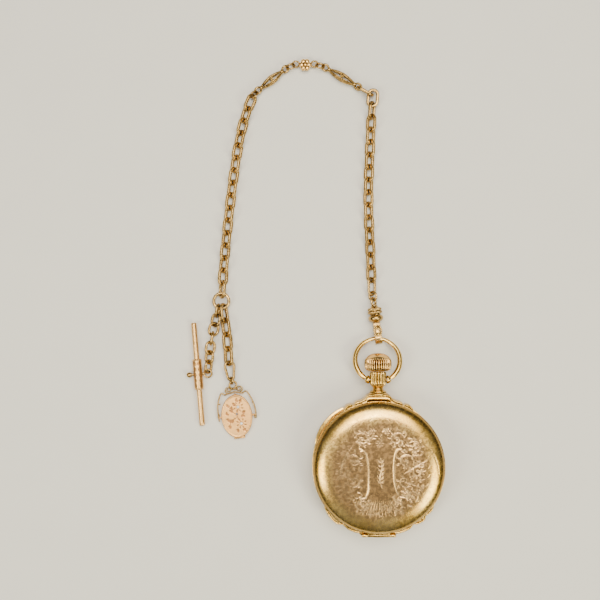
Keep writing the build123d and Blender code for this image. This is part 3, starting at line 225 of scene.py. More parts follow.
white = enamel("white_dial_enamel", (0.92, 0.91, 0.87), (0.88, 0.87, 0.82))
ink = enamel("black_dial_paint", (0.015, 0.015, 0.018), (0.03, 0.028, 0.03))
bright_stone = stone("bright_stone", (0.93, 0.94, 0.97), (0.75, 0.78, 0.85))
dark_stone = stone("dark_stone", (0.02, 0.03, 0.08), (0.05, 0.06, 0.14))
glass = clear_glass("watch_crystal_glass")

LOOKS = {
    "gold_case": case_gold, "gold_chain": chain_gold, "gold_medallion": medal_gold, "steel": steel,
    "crystal_glass": glass, "gilt_plate": gilt, "brass_wheels": brass, "dial_enamel": white, "blued_steel": blued,
}
SLOT_OF = {row["node"]: row["material_slot"] for row in frame["record"]["subparts"]}
for name, node in CAD.items():
    node.data.materials.clear()
    node.data.materials.append(LOOKS[SLOT_OF[name]])
for name, material in (("front_lid", lid_gold), ("t_bar", bar_gold), ("fob_frame", dark_wire)):
    CAD[name].data.materials[0] = material


# --- mesh helpers
SHARP = 0.9  # radians between faces


def around(count):
    """Angles of one full turn."""
    return np.linspace(0, 2 * pi, count, endpoint=False)


def rotated(x, y, angle):
    return x * cos(angle) - y * sin(angle), x * sin(angle) + y * cos(angle)


def evened(values, width):
    """Values with their corners rounded off over an odd number of steps."""
    kernel = np.hanning(width)
    return np.convolve(np.pad(values, width // 2, "edge"), kernel / kernel.sum(), "valid")


CASE = ("gold_case", case_gold)
CHAIN = ("gold_chain", chain_gold)


def place(obj, body, slot, material, hides=()):
    """Give a new piece its finish, let it ride on a CAD body, and hide the CAD nodes it stands for."""
    obj.data.materials.append(material)
    bpy.context.scene.collection.objects.link(obj)
    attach(obj, body)
    if hides:
        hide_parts(*hides)
    return obj


def creased(obj):
    """Mark the sharp edges of a smooth mesh."""
    mesh = bmesh.new()
    mesh.from_mesh(obj.data)
    for edge in mesh.edges:
        if len(edge.link_faces) == 2 and edge.calc_face_angle(0) > SHARP:
            edge.smooth = False
    mesh.to_mesh(obj.data)
    mesh.free()
    return obj


def soften(name, width, segments):
    """Round the edges of a CAD node."""
    node = CAD[name]
    node.modifiers.new("weld", "WELD").merge_threshold = 0.000004
    bevel = node.modifiers.new("bevel", "BEVEL")
    bevel.width = width
    bevel.segments = segments
    bevel.limit_method = "ANGLE"
    bevel.angle_limit = radians(28)
    for polygon in node.data.polygons:
        polygon.use_smooth = True
    split = node.modifiers.new("split", "EDGE_SPLIT")
    split.split_angle = radians(35)
    split.use_edge_sharp = False


def sheet_mesh(name, points, wrap_u=False, attribute=None):
    """Mesh from an (n, m, 3) array of points in millimetres; wrap_u joins the last column to the first."""
    n, m, _ = points.shape
    ids = np.arange(n * m).reshape(n, m)
    right = np.roll(ids, -1, axis=1) if wrap_u else ids[:, 1:]
    left = ids if wrap_u else ids[:, :-1]
    quads = np.stack([left[:-1], right[:-1], right[1:], left[1:]], axis=-1).reshape(-1, 4)
    mesh = bpy.data.meshes.new(name)
    mesh.from_pydata((points.reshape(-1, 3) * MM).tolist(), [], quads.tolist())
    mesh.polygons.foreach_set("use_smooth", np.ones(len(mesh.polygons), bool))
    if attribute is not None:
        layer = mesh.attributes.new("cut", "FLOAT", "POINT")
        layer.data.foreach_set("value", attribute.reshape(-1).astype(np.float32))
    mesh.update()
    return bpy.data.objects.new(name, mesh)


class Engraving:
    """A height map in millimetres over a rectangle, into which tapered strokes are cut."""

    def __init__(self, half_x, half_y, step):
        self.step = step
        self.half = (half_x, half_y)
        self.height = np.zeros((int(2 * half_y / step) + 1, int(2 * half_x / step) + 1))

    def stroke(self, points, width, depth, taper=True):
        """Cut along a polyline: width and depth in millimetres, thinner at both ends if tapered."""
        points = np.asarray(points, float)
        gaps = np.hypot(*np.diff(points, axis=0).T)
        length = np.concatenate([[0], np.cumsum(gaps)])
        count = max(int(length[-1] / (self.step * 0.8)), 2)
        at = np.linspace(0, length[-1], count)
        xs = np.interp(at, length, points[:, 0])
        ys = np.interp(at, length, points[:, 1])
        share = np.sin(pi * np.linspace(0.04, 0.96, count)) ** 0.7 if taper else np.ones(count)
        for x, y, s in zip(xs, ys, share):
            self.dot(x, y, max(width * s, self.step * 1.3), depth * (0.4 + 0.6 * s))

    def dot(self, x, y, radius, depth):
        rows, columns = self.height.shape
        reach = int(radius / self.step) + 1
        cx = int(round((x + self.half[0]) / self.step))
        cy = int(round((y + self.half[1]) / self.step))
        if not (reach < cx < columns - reach and reach < cy < rows - reach):
            return
        offsets = np.arange(-reach, reach + 1) * self.step
        distance = np.hypot(offsets[None, :], offsets[:, None]) / radius
        window = self.height[cy - reach : cy + reach + 1, cx - reach : cx + reach + 1]
        np.minimum(window, -depth * np.clip(1 - distance, 0, 1), out=window)

    def sample(self, x, y):
        gx = np.clip((x + self.half[0]) / self.step, 0, self.height.shape[1] - 1.001)
        gy = np.clip((y + self.half[1]) / self.step, 0, self.height.shape[0] - 1.001)
        ix, iy = gx.astype(int), gy.astype(int)
        fx, fy = gx - ix, gy - iy
        h = self.height
        low = h[iy, ix] * (1 - fx) + h[iy, ix + 1] * fx
        high = h[iy + 1, ix] * (1 - fx) + h[iy + 1, ix + 1] * fx
        return low * (1 - fy) + high * fy


def spiral(cx, cy, radius, start, turns, sense, shrink=0.12, count=60):
    """Points from the outer end of a scroll inwards."""
    t = np.linspace(0, 1, count)
    r = radius * (1 - (1 - shrink) * t**0.85)
    a = start + sense * turns * 2 * pi * t
    return np.stack([cx + r * np.cos(a), cy + r * np.sin(a)], axis=1)


def comma(x, y, heading, length, bend):
    """A short curved leaf stroke."""
    t = np.linspace(0, 1, 12)
    a = heading + bend * t
    step = length / 11
    return np.stack([x + np.cumsum(np.cos(a)) * step, y + np.cumsum(np.sin(a)) * step], axis=1)


def scroll(art, cx, cy, radius, start, sense, turns=1.35, width=0.36, depth=0.08, leaves=6):
    """A foliate scroll: a spiral stem with leaves on its outside and an eye in its middle."""
    line = spiral(cx, cy, radius, start, turns, sense)
    art.stroke(line, width, depth, taper=False)
    art.stroke(spiral(cx, cy, radius * 0.86, start + sense * 0.2, turns * 0.8, sense), width * 0.5, depth * 0.6)
    for i in range(leaves):
        k = int(2 + i * 40 / leaves)
        x, y = line[k]
        out = atan2(y - cy, x - cx)
        heading = out + sense * 0.9
        art.stroke(comma(x, y, heading, radius * 0.62, -sense * 1.5), width * 1.25, depth)
        art.stroke(comma(x, y, heading - sense * 0.45, radius * 0.45, -sense * 1.2), width * 0.7, depth * 0.8)
    art.dot(cx, cy, radius * 0.22, depth * 1.2)


def flower(art, cx, cy, radius, petals, depth=0.07):
    for i in range(petals):
        a = 2 * pi * i / petals
        art.stroke([(cx + 0.3 * radius * cos(a), cy + 0.3 * radius * sin(a)),
                    (cx + radius * cos(a), cy + radius * sin(a))], radius * 0.3, depth)
    art.dot(cx, cy, radius * 0.28, depth * 1.3)


# --- engraved front lid
LID_FLAT = 19.6
LID_EDGE = (lid_high.x - lid_low.x) / 2 / MM
lid_tree = BVHTree.FromObject(CAD["front_lid"], bpy.context.evaluated_depsgraph_get())


def lid_height(radius):
    """Greatest height of the CAD lid at a radius, in millimetres, from rays cast down at nine angles."""
    heights = [0.0]
    for step in range(9):
        angle = radians(15 + 18 * step)
        origin = Vector((LID_X + radius * MM * cos(angle), LID_Y + radius * MM * sin(angle), 0.05))
        hit = lid_tree.ray_cast(origin, Vector((0, 0, -1)))[0]
        if hit is not None:
            heights.append(hit.z / MM)
    return max(heights)


def scattered(reach):
    """A random point of a disc."""
    r = reach * sqrt(rng.random())
    a = rng.random() * 2 * pi
    return r * cos(a), r * sin(a)


# Foliate scrolls right of the lid's middle: place, radius, angle at which the stem starts, sense of turning, leaves.
SCROLLS = (
    (10.6, 3.4, 3.7, -0.6, 1, 6), (10.2, -4.8, 3.3, 0.9, -1, 6), (7, 12.4, 3.1, 0.4, 1, 8),
    (14.6, 9, 2.7, 2, -1, 8), (15.6, -1, 2.5, 1.2, 1, 8), (13.4, -10.8, 2.7, -1, 1, 8),
    (6.6, -14.2, 2.9, -0.4, -1, 8)
)
# Fields of loose worn leaves: middle, half width and half height, count.
LOOSE_LEAVES = (
    (-11.5, 0, 4.6, 8.5, 46), (12.6, -3.5, 4.4, 8, 46), (1.5, -15.4, 7.5, 2.6, 40), (-1, 12.6, 8.5, 2.8, 34),
    (9.5, -11.6, 3.6, 3.2, 22), (-9.2, -12.2, 3.4, 3, 16), (11.5, 9, 3.6, 3.2, 18)
)


def lid_art():
    """Worn foliate engraving round a plain upright cartouche with a small leaf sprig."""
    art = Engraving(27.6, 27.6, 0.055)
    left = [(-8.2, 8.6), (-6.9, 8), (-5.6, 6.2), (-4.7, 2.9), (-4.4, -1), (-4.4, -5), (-4.6, -9), (-5.6, -11.2),
            (-7.2, -11.8)]
    right = [(8.6, 8.4), (7.3, 8.2), (6.3, 6.2), (5.8, 2.9), (5.7, -1), (5.9, -4.6), (6.9, -8.8), (8.2, -10.8),
             (9.8, -11.2)]
    for bracket, inward in ((left, -0.6), (right, 0.6)):
        art.stroke(smooth_line(bracket), 0.42, 0.13, taper=False)
        art.stroke(smooth_line([(x + inward, y) for x, y in bracket[1:-1]]), 0.16, 0.06)
    art.stroke(smooth_line([(-16, -2.5), (-15.4, 1.4), (-14, 5.4), (-11, 9.6)]), 0.42, 0.16)
    art.stroke(smooth_line([(19.4, 9.6), (22, 5.6), (23.6, 1.6), (24.2, -2.6)]), 0.34, 0.10)
    art.stroke([(9.8, -1.9), (14.4, 1.0), (19.4, 3.8)], 0.36, 0.12)
    for side in (-1, 1):
        for x, y, radius, start, sense, leaves in SCROLLS:
            scroll(art, side * x, y, radius, side * start + (pi if side < 0 else 0), side * sense, leaves=leaves)
        for i in range(16):
            a = radians(-88 + i * 11.0)
            x, y = 19.3 * cos(a) * side, 19.3 * sin(a)
            art.stroke(comma(x, y, atan2(-y, -x) + side * 0.7, 3.2, -side * 1.1), 0.3, 0.06)
            art.stroke(comma(x, y, atan2(y, x) + side * 0.5, 2.4, side), 0.22, 0.045)
        flower(art, side * 3.0, 15.8, 1.5, 6)
    for i in range(13):
        x = -6 + i
        art.stroke(comma(x * 0.75, -12.2 - abs(x) * 0.12, -pi / 2 + x * 0.09, 4.6, x * 0.06), 0.34, 0.08)
        art.stroke(comma(x * 1.15, -17.0 + abs(x) * 0.16, -pi / 2 + x * 0.07, 2.6, x * 0.05), 0.28, 0.06)
    flower(art, 0, 10.8, 1.7, 8)
    # A small leaf sprig stands where a monogram would be.
    art.stroke(smooth_line([(0.9, -7.4), (0.1, -3.6), (1, 0.4), (0.5, 4.6)]), 0.3, 0.08, taper=False)
    for i in range(6):
        y = -5.8 + i * 1.7
        for side in (-1, 1):
            art.stroke(comma(0.5, y, pi / 2 - side * 0.95, 1.9, side * 0.5), 0.42, 0.08)
    for cx, cy, wide, high, count in LOOSE_LEAVES:
        for _ in range(count):
            x, y = cx + wide * rng.uniform(-1, 1), cy + high * rng.uniform(-1, 1)
            if -4.9 < x < 6.3 and -11.5 < y < 8.0:
                continue
            heading = atan2(y + 1, x) + 1.2 * sin(x * 0.9 + y * 0.7) + rng.normal(0, 0.3)
            leaf = comma(x, y, heading, rng.uniform(0.9, 2.3), rng.choice((-1.3, 1.3)))
            art.stroke(leaf, rng.uniform(0.3, 0.55), 0.085)
    # Fine upright shading lines behind the foliage.
    for _ in range(900):
        x, y = scattered(20.4)
        if abs(x) < 5.0 and -10.5 < y < 8.5:
            continue
        art.stroke([(x, y), (x + rng.normal(0, 0.1), y + 0.6 + 1.1 * rng.random())], 0.07, 0.025)
    # Wear: long fine scratches and small dents.
    for _ in range(150):
        x, y = scattered(26)
        heading = rng.random() * pi
        length = 1 + 8 * rng.random() ** 2
        art.stroke(comma(x, y, heading, length, rng.normal(0, 0.25)), 0.07, 0.012)
    return art


def smooth_line(points, count=14):
    """Catmull-Rom line through points."""
    p = np.asarray(points, float)
    p = np.vstack([2 * p[0] - p[1], p, 2 * p[-1] - p[-2]])
    t = np.linspace(0, 1, count, endpoint=False)[:, None]
    out = []
    for a, b, c, d in zip(p[:-3], p[1:-2], p[2:-1], p[3:]):
        out.append(0.5 * (2 * b + (c - a) * t + (2 * a - 5 * b + 4 * c - d) * t**2 + (3 * b - a - 3 * c + d) * t**3))
    return np.vstack([*out, p[-2][None]])


SKIN_LIFT = 0.13
SKIN_TURNS = 1300


def build_lid_skin():
    """A thin engraved sheet over the CAD lid, with its edge rolled down onto the cover."""
    edge = LID_EDGE - 0.55
    radii = np.concatenate([np.linspace(0.02, LID_FLAT, 190), np.linspace(LID_FLAT, edge, 84)[1:]])
    sample_at = np.linspace(0, LID_EDGE - 0.2, 120)
    profile = np.array([lid_height(max(r, 0.1)) for r in sample_at])
    base = np.interp(radii, sample_at, profile)
    angles = around(SKIN_TURNS)
    x = radii[:, None] * np.cos(angles)
    y = radii[:, None] * np.sin(angles)
    fade = np.clip((edge - radii) / 1.2, 0, 1)[:, None]
    relief = lid_art().sample(x, y) * (0.35 + 0.65 * fade)
    worn = 0.75 + 0.25 * np.sin(x * 0.35 + 1.0) * np.sin(y * 0.3 + 2.0)
    rubbed = 1 - 0.5 * np.clip((-x - 8.5) / 4, 0, 1)
    relief *= worn * rubbed
    # Soft unevenness of thin beaten gold.
    waves = 0.012 * (np.sin(x * 0.52 + 0.6 * np.sin(y * 0.31)) + np.sin(y * 0.47 + 0.7 * np.sin(x * 0.27)))
    z = base[:, None] + SKIN_LIFT + relief + waves
    points = np.stack([x + CASE_X, y + CASE_Y, z], axis=-1)
    roll = []
    for drop, out in ((0.05, 0.05), (0.12, 0.07), (0.22, 0.05), (0.34, 0.0)):
        r = edge + out
        roll.append(np.stack([r * np.cos(angles) + CASE_X, r * np.sin(angles) + CASE_Y,
                              np.full_like(angles, z[-1].mean() - drop)], axis=-1))
    points = np.concatenate([points, np.array(roll)])
    # The cut mask carries the painted highlight on the lid's engraved lines.
    cut = np.concatenate([np.clip(-relief / 0.07, 0, 1), np.zeros((4, SKIN_TURNS))])
    skin = sheet_mesh("front_lid_engraved_face", points, wrap_u=True, attribute=cut)
    if skin.data.polygons[0].normal.z < 0:
        skin.data.flip_normals()
    place(skin, "front_lid", "gold_case", lid_gold)


build_lid_skin()


def build_ring_profile(name, profile, body, count, modulate=None):
    """Revolve a closed profile of (radius, z) in millimetres round the case axis."""
    profile = np.asarray([*profile, profile[0]], float)
    angles = around(count)
    r = profile[:, 0][:, None] + np.zeros(count)
    if modulate is not None:
        r = r + modulate(profile, angles)
    points = np.stack([r * np.cos(angles) + CASE_X, r * np.sin(angles) + CASE_Y,
                       profile[:, 1][:, None] + np.zeros(count)], axis=-1)
    place(sheet_mesh(name, points, wrap_u=True), body, *CASE)


for body, z in (("front_lid", lid_low.z / MM + 1.55), ("back_lid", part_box("back_lid")[0].z / MM + 3.2)):
    profile = [(LID_EDGE - 0.16 + 0.2 * cos(t), z + 0.2 * sin(t)) for t in around(12)]
    build_ring_profile(body + "_rim_bead", profile, body, 720)

# Coin edge: fine upright reeds round the centre band.
REEDS = 240
BAND_R = band_high.x / MM


def reed(profile, angles):
    wave = 0.5 + 0.5 * np.cos(angles * REEDS)
    outer = (profile[:, 0] > BAND_R - 0.1)[:, None]
    return outer * (0.22 * wave[None, :] ** 0.7)


profile = [(BAND_R + out, band_low.z / MM + rise) for out, rise in ((-0.15, 0.7), (0.03, 0.75), (0.06, 1.0))]
profile += [(BAND_R + out, band_high.z / MM - drop) for out, drop in ((0.06, 1.0), (0.03, 0.75), (-0.15, 0.7))]
build_ring_profile("case_band_coin_edge", profile, "case", REEDS * 8, reed)


# --- turned and swept pieces
def turned(name, origin, axis, profile, body, slot, material, count, modulate, hides=()):
    """Revolve a line of (distance along the axis, radius) in millimetres about an axis through origin."""
    axis = Vector(axis).normalized()
    up = Vector((0, 0, 1))
    first = (up - axis * axis.dot(up)).normalized()
    second = axis.cross(first)
    profile = np.asarray(profile, float)
    angles = around(count)
    radius = np.maximum(profile[:, 1][:, None] + modulate(profile[:, 0][:, None], angles[None, :]), 0.0)
    along = profile[:, 0][:, None, None] * np.array(axis)
    ring = np.cos(angles)[None, :, None] * np.array(first) + np.sin(angles)[None, :, None] * np.array(second)
    points = np.array(origin) / MM + along + radius[:, :, None] * ring
    return place(creased(sheet_mesh(name, points, wrap_u=True)), body, slot, material, hides)


def tube_mesh(name, line, radii, sides=14, closed=False, normal=(0, 0, 1)):
    """Round bar along a line of points in millimetres; the normal is any way that the line never runs along."""
    line = np.asarray(line, float)
    tangent = np.roll(line, -1, 0) - np.roll(line, 1, 0) if closed else np.gradient(line, axis=0)
    tangent /= np.linalg.norm(tangent, axis=1)[:, None]
    side = np.cross(tangent, normal)
    side /= np.linalg.norm(side, axis=1)[:, None]
    top = np.cross(side, tangent)
    radii = np.broadcast_to(radii, len(line))
    angles = around(sides)
    ring = np.cos(angles)[None, :, None] * side[:, None, :] + np.sin(angles)[None, :, None] * top[:, None, :]
    points = line[:, None, :] + radii[:, None, None] * ring
    if closed:
        points = np.concatenate([points, points[:1]])
    else:
        ends = [np.repeat(end[:, None, :], sides, 1) for end in (line[:1], line[-1:])]
        points = np.concatenate([ends[0], points, ends[1]])
    return sheet_mesh(name, points, wrap_u=True)


def joined(name, objects):
    """One piece out of several meshes that are not linked to the scene."""
    merged = bmesh.new()
    for obj in objects:
        merged.from_mesh(obj.data)
        bpy.data.objects.remove(obj)
    bmesh.ops.remove_doubles(merged, verts=merged.verts, dist=1e-7)
    bmesh.ops.recalc_face_normals(merged, faces=merged.faces)
    mesh = bpy.data.meshes.new(name)
    merged.to_mesh(mesh)
    merged.free()
    mesh.polygons.foreach_set("use_smooth", np.ones(len(mesh.polygons), bool))
    return bpy.data.objects.new(name, mesh)


def bead(centre, radius, squash=1.0, rings=8, sides=14):
    """A small ball at a point in millimetres, flattened along Z."""
    t = np.linspace(0, pi, rings)
    a = around(sides)
    points = np.stack([
        centre[0] + radius * np.sin(t)[:, None] * np.cos(a),
        centre[1] + radius * np.sin(t)[:, None] * np.sin(a),
        centre[2] + radius * squash * np.cos(t)[:, None] + 0 * a,
    ], axis=-1)
    return sheet_mesh("bead", points, wrap_u=True)


def joint_point(name):
    return Vector(JOINTS[name]["pos_m"])


# --- crown and pendant
crown_low, crown_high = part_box("crown")
stem_z = (crown_low.z + crown_high.z) / 2
crown_foot = Vector((LID_X, crown_low.y, stem_z))
CROWN_RIBS = 34


def crown_ribs(s, angles):
    window = np.clip((s - 0.05) / 0.5, 0, 1) * np.clip((5.3 - s) / 0.8, 0, 1)
    return 0.8 * window * (np.abs(np.cos(angles * CROWN_RIBS / 2)) ** 0.8 - 0.84)


crown_line = smooth_line([
    (0, 4.1), (0.35, 4.7), (1, 5.2), (2, 5.45), (3.2, 5.5), (4.3, 5.36), (5.3, 4.95), (6.1, 4.25), (6.75, 3.3),
    (7.15, 2.2), (7.36, 1.1), (7.4, 0)
], 8)
crown_line = np.vstack([[(0.6, 0.9), (0.25, 2.6), (0.0, 3.3)], crown_line])
turned("crown_ribbed", crown_foot, (0, 1, 0), crown_line, "crown", "gold_case", crown_gold, CROWN_RIBS * 12, crown_ribs,
       hides=("crown",))

pendant_foot = Vector((LID_X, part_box("pendant")[0].y, stem_z))
FLUTES = 16


def column_flutes(s, angles):
    window = np.clip((s - 7.6) / 1.2, 0, 1)
    return 0.42 * window * (np.abs(np.cos(angles * FLUTES / 2)) - 0.78)


column_line = smooth_line([
    (4.25, 3.5), (4.4, 3.9), (4.8, 4.05), (5.15, 3.75), (5.3, 3.25), (5.5, 3.45), (5.75, 3.42), (5.95, 3),
    (6.15, 2.35), (6.4, 2.15), (6.65, 2.35), (6.85, 2.2), (7.05, 2), (7.4, 2.3), (8, 2.78), (8.7, 3.16),
    (9.5, 3.34), (11.5, 3.36), (13.1, 3.36), (13.6, 3.3)
], 6)
column_line = np.vstack([[(0.0, 1.6), (0.1, 2.2), (4.2, 2.2)], column_line, [(13.75, 3.0), (13.75, 1.6)]])
turned("pendant_fluted_column", pendant_foot, (0, 1, 0), column_line, "case", *CASE, FLUTES * 16,
       column_flutes, hides=("pendant",))

# --- bow
bow_pivot = joint_point("bow_hinge") / MM
clip_top = joint_point("swivel_swing") / MM
drop = Vector((0, clip_top.y - bow_pivot.y, clip_top.z - bow_pivot.z))
bow_up = drop.normalized()
BOW_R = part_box("bow")[1].x / MM - 0.8
bow_rise = drop.length - BOW_R
start = -asin(bow_rise / BOW_R)
arc = np.linspace(start, pi - start, 120)
bow_line = [(CASE_X + BOW_R * cos(a), *(bow_pivot + bow_up * (bow_rise + BOW_R * sin(a)))[1:]) for a in arc]
share = 1 - np.abs(np.linspace(-1, 1, 120))
bow_radius = np.interp(share, [0, 0.12, 0.3, 0.5, 0.75, 0.92, 1], [0.8, 1.02, 1.1, 1.04, 0.86, 0.74, 0.72])
bow_parts = [tube_mesh("bow_wire", bow_line, bow_radius, 20, normal=bow_up.cross(Vector((1, 0, 0))))]
for side in (-1, 1):
    boss = [(side * x, bow_pivot.y, bow_pivot.z) for x in (3.5, 3.7, 4.0, 4.4, 4.8, 5.15, 5.4, 5.5)]
    bow_parts.append(tube_mesh("boss", boss, [1.35, 1.66, 1.72, 1.62, 1.5, 1.25, 0.85, 0.3], 28))
place(joined("bow_tapered_wire", bow_parts), "bow", *CASE, ("bow",))


# --- scrolled ornaments of the case
# Half a section of an ornament: out from its edge, down from its top, heights of its ridge and chasing.
ORNAMENT_EDGE = (
    (-3.2, -0.35, 0, 0), (-2.1, -0.12, 0, 0), (-1.65, -0.02, 0.05, 0), (-1.35, -0.14, 0, -0.12),
    (-1.1, -0.2, 0, -0.2), (-0.85, -0.02, 0.16, 0.12), (-0.55, 0.06, 0.3, 0.3), (-0.25, -0.04, 0.22, 0.22),
    (-0.07, -0.35, 0.05, 0.05), (0, -0.8, 0, 0), (-0.12, -1.15, 0, 0), (0, -1.5, 0, 0)
)


def ornament(name, table, facing, hides, bumps, low, high, hinge_gap=0.0):
    """A chased plate round part of the band; table is of (degrees from its middle, outer radius in millimetres)."""
    given = np.asarray(table, float)
    angles = np.arange(given[0, 0], given[-1, 0] + 0.01, 0.16)
    outer = np.interp(angles, given[:, 0], given[:, 1])
    outer = evened(outer, 7)
    lobe = np.zeros_like(angles)
    for centre, half in bumps:
        lobe = np.maximum(lobe, np.clip(1 - np.abs(angles - centre) / half, 0, 1))
    lobe = np.sqrt(lobe)
    pearl = np.abs(np.sin(np.radians(angles) * 62))
    outer = outer + 0.28 + 0.14 * lobe * pearl
    lift = np.where(np.abs(angles) < hinge_gap, 0.0, 1.0)
    rows = []
    upper = [(dr, high + dz, ridge, chased) for dr, dz, ridge, chased in ORNAMENT_EDGE]
    lower = [(dr, low - dz, 0, 0) for dr, dz, _, _ in reversed(ORNAMENT_EDGE)]
    for dr, z, ridge, chased in [*upper, (-0.04, (low + high) / 2, 0, 0), *lower]:
        radius = np.maximum(outer + dr, 25.2)
        height = z + ridge * lift * 0.6 + chased * lobe * pearl * lift
        a = facing + np.radians(angles)
        rows.append(np.stack([radius * np.cos(a) + CASE_X, radius * np.sin(a) + CASE_Y, height], axis=-1))
    points = np.array(rows)
    ends = [np.repeat(end.mean(axis=0, keepdims=True), len(points), 0) for end in (points[:, :1], points[:, -1:])]
    points = np.concatenate([ends[0], points, ends[1]], axis=1)
    place(sheet_mesh(name, points), "case", *CASE, hides)


box_low, box_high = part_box("hinge_box")
plate_low, plate_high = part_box("shoulder_plate")
SHOULDER = [(0, 29.55), (7.5, 29.75), (9.2, 29.6), (10.5, 28.9), (12, 28.4), (15, 28), (18.6, 28.15), (20.3, 28),
            (21.3, 27.35), (22.3, 27.35), (23.6, 27.9), (26, 28.2), (28.8, 28), (31, 27.5), (32.4, 26.6)]
both_sides = [(-a, r) for a, r in reversed(SHOULDER[1:])] + SHOULDER
ornament("shoulder_chased_scrolls", both_sides, pi / 2, ("shoulder_plate",), [(-26.5, 5), (26.5, 5), (0, 9)],
         plate_low.z / MM, plate_high.z / MM)
HINGE = [
    (-56, 26.4), (-53.4, 27.7), (-50, 28.2), (-47.6, 28.5), (-44, 28.8), (-41, 28.95), (-36.5, 29), (-33.6, 28.4),
    (-32, 27.9), (-30.3, 28.1), (-26, 28.6), (-20, 28.6), (-16.6, 28.35), (-14.4, 28.95), (-9, 28.95), (9, 28.95),
    (11.8, 28.85), (14.2, 28.25), (16, 28.5), (22, 28.65), (25.6, 28.6), (28.2, 28.35), (30.2, 27.75), (32, 27.7),
    (33.6, 28.3), (37, 28.75), (41, 28.95), (42.8, 28.4), (44, 27.9), (46, 28.15), (50, 28.4), (53, 28.1),
    (55.4, 27.6), (57, 26.4)
]
ornament("hinge_chased_scrolls", HINGE, -pi / 2, ("hinge_box",),
         [(-40, 10), (38, 6), (50, 6.5)], box_low.z / MM + 1.45, box_high.z / MM - 1.45, hinge_gap=15.5)


# --- hinge knuckles and thumb lip of the case
knuckles = []
for hinge, lean in (("front_lid_hinge", -1), ("back_lid_hinge", 1)):
    pin = joint_point(hinge) / MM
    for side in (-1, 1):
        for drop, radius in ((0, 0.7), (0.45 * lean, 0.66)):
            line = [(side * x, pin.y + (0.25 if drop else 0), pin.z + drop) for x in (4.52, 4.6, 6.9, 7.0)]
            knuckles.append(tube_mesh("knuckle", line, [radius - 0.1, radius, radius, radius - 0.1], 24))
place(joined("case_hinge_knuckles", knuckles), "case", *CASE)

lip_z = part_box("back_lid")[1].z / MM - 0.75
lip_rows = []
for angle in np.radians(np.linspace(119, 162, 60)):
    reach = 27.1 + 1.45 * sin(pi * (degrees(angle) - 119) / 43) ** 0.5
    section = [(26.6, -0.3), (26.6, 0.12), (reach - 0.2, 0.2), (reach, 0.1), (reach, -0.15), (reach - 0.25, -0.25)]
    lip_rows.append([(r * cos(angle) + CASE_X, r * sin(angle) + CASE_Y, lip_z + z) for r, z in section])
lip = creased(sheet_mesh("back_lid_thumb_lip", np.array(lip_rows), wrap_u=True))
place(lip, "back_lid", *CASE)


# --- swivel, spindles and flower
def facing_of(along, roll):
    """Face of a ring that lies along a direction and is rolled about it by degrees."""
    side = Vector((-along.y, along.x, 0)).normalized()
    return side * sin(radians(roll)) + along.cross(side) * cos(radians(roll))


def ring_piece(centre, facing, radius, wire, sides=16, count=48):
    first = facing.orthogonal().normalized()
    second = facing.normalized().cross(first)
    line = [centre + first * (radius * cos(t)) + second * (radius * sin(t)) for t in around(count)]
    return tube_mesh("ring", line, wire, sides, closed=True, normal=facing)


clip_at = joint_point("swivel_swing")
clip_along = Vector(JOINTS["swivel_spin"]["axis"]).normalized()


MILLED = 34


def milling(s, angles):
    band = np.exp(-(((s - 11.15) / 0.35) ** 2)) + np.exp(-(((s - 12.4) / 0.4) ** 2))
    return 0.07 * band * np.cos(angles * MILLED)


barrel_line = smooth_line([
    (6.9, 1.5), (7.15, 1.8), (7.5, 2.5), (8, 2.98), (8.7, 3.13), (9.35, 2.95), (9.75, 2.5), (10, 2.12),
    (10.3, 2.12), (10.5, 2.5), (10.75, 2.9), (11.2, 3), (11.55, 2.85), (11.7, 2.6), (11.85, 2.72), (12.2, 2.88),
    (12.7, 2.86), (13.05, 2.5), (13.2, 1.9), (13.5, 1.5), (14.05, 1.35)
], 5)
turned("swivel_milled_barrel", clip_at, clip_along, barrel_line, "swivel_barrel", *CHAIN, MILLED * 8,
       milling)

cheek_side = clip_along.cross(Vector((0, 0, 1))).normalized()
cheek_up = cheek_side.cross(clip_along)
clip_mm = clip_at / MM
cheek = []
for scale, wire in ((1.0, 0.32), (0.62, 0.16)):
    middle = clip_mm + clip_along * 3.35 + cheek_up * 2.45
    oval = [middle + (clip_along * (2.3 * cos(t)) + cheek_side * (1.55 * sin(t))) * scale for t in around(48)]
    cheek.append(tube_mesh("oval", oval, wire, 12, closed=True, normal=cheek_up))
place(joined("swivel_oval_cheek", cheek), "swivel_hook", *CHAIN)
thumb = bead(clip_mm + clip_along * 1.9 + cheek_up * 2.75, 0.62, 1.0, 14, 24)
place(thumb, "swivel_gate", "gold_chain", case_gold).name = "swivel_thumb_bead"


EYELET_R = 0.00184  # reach of an eyelet past its centre


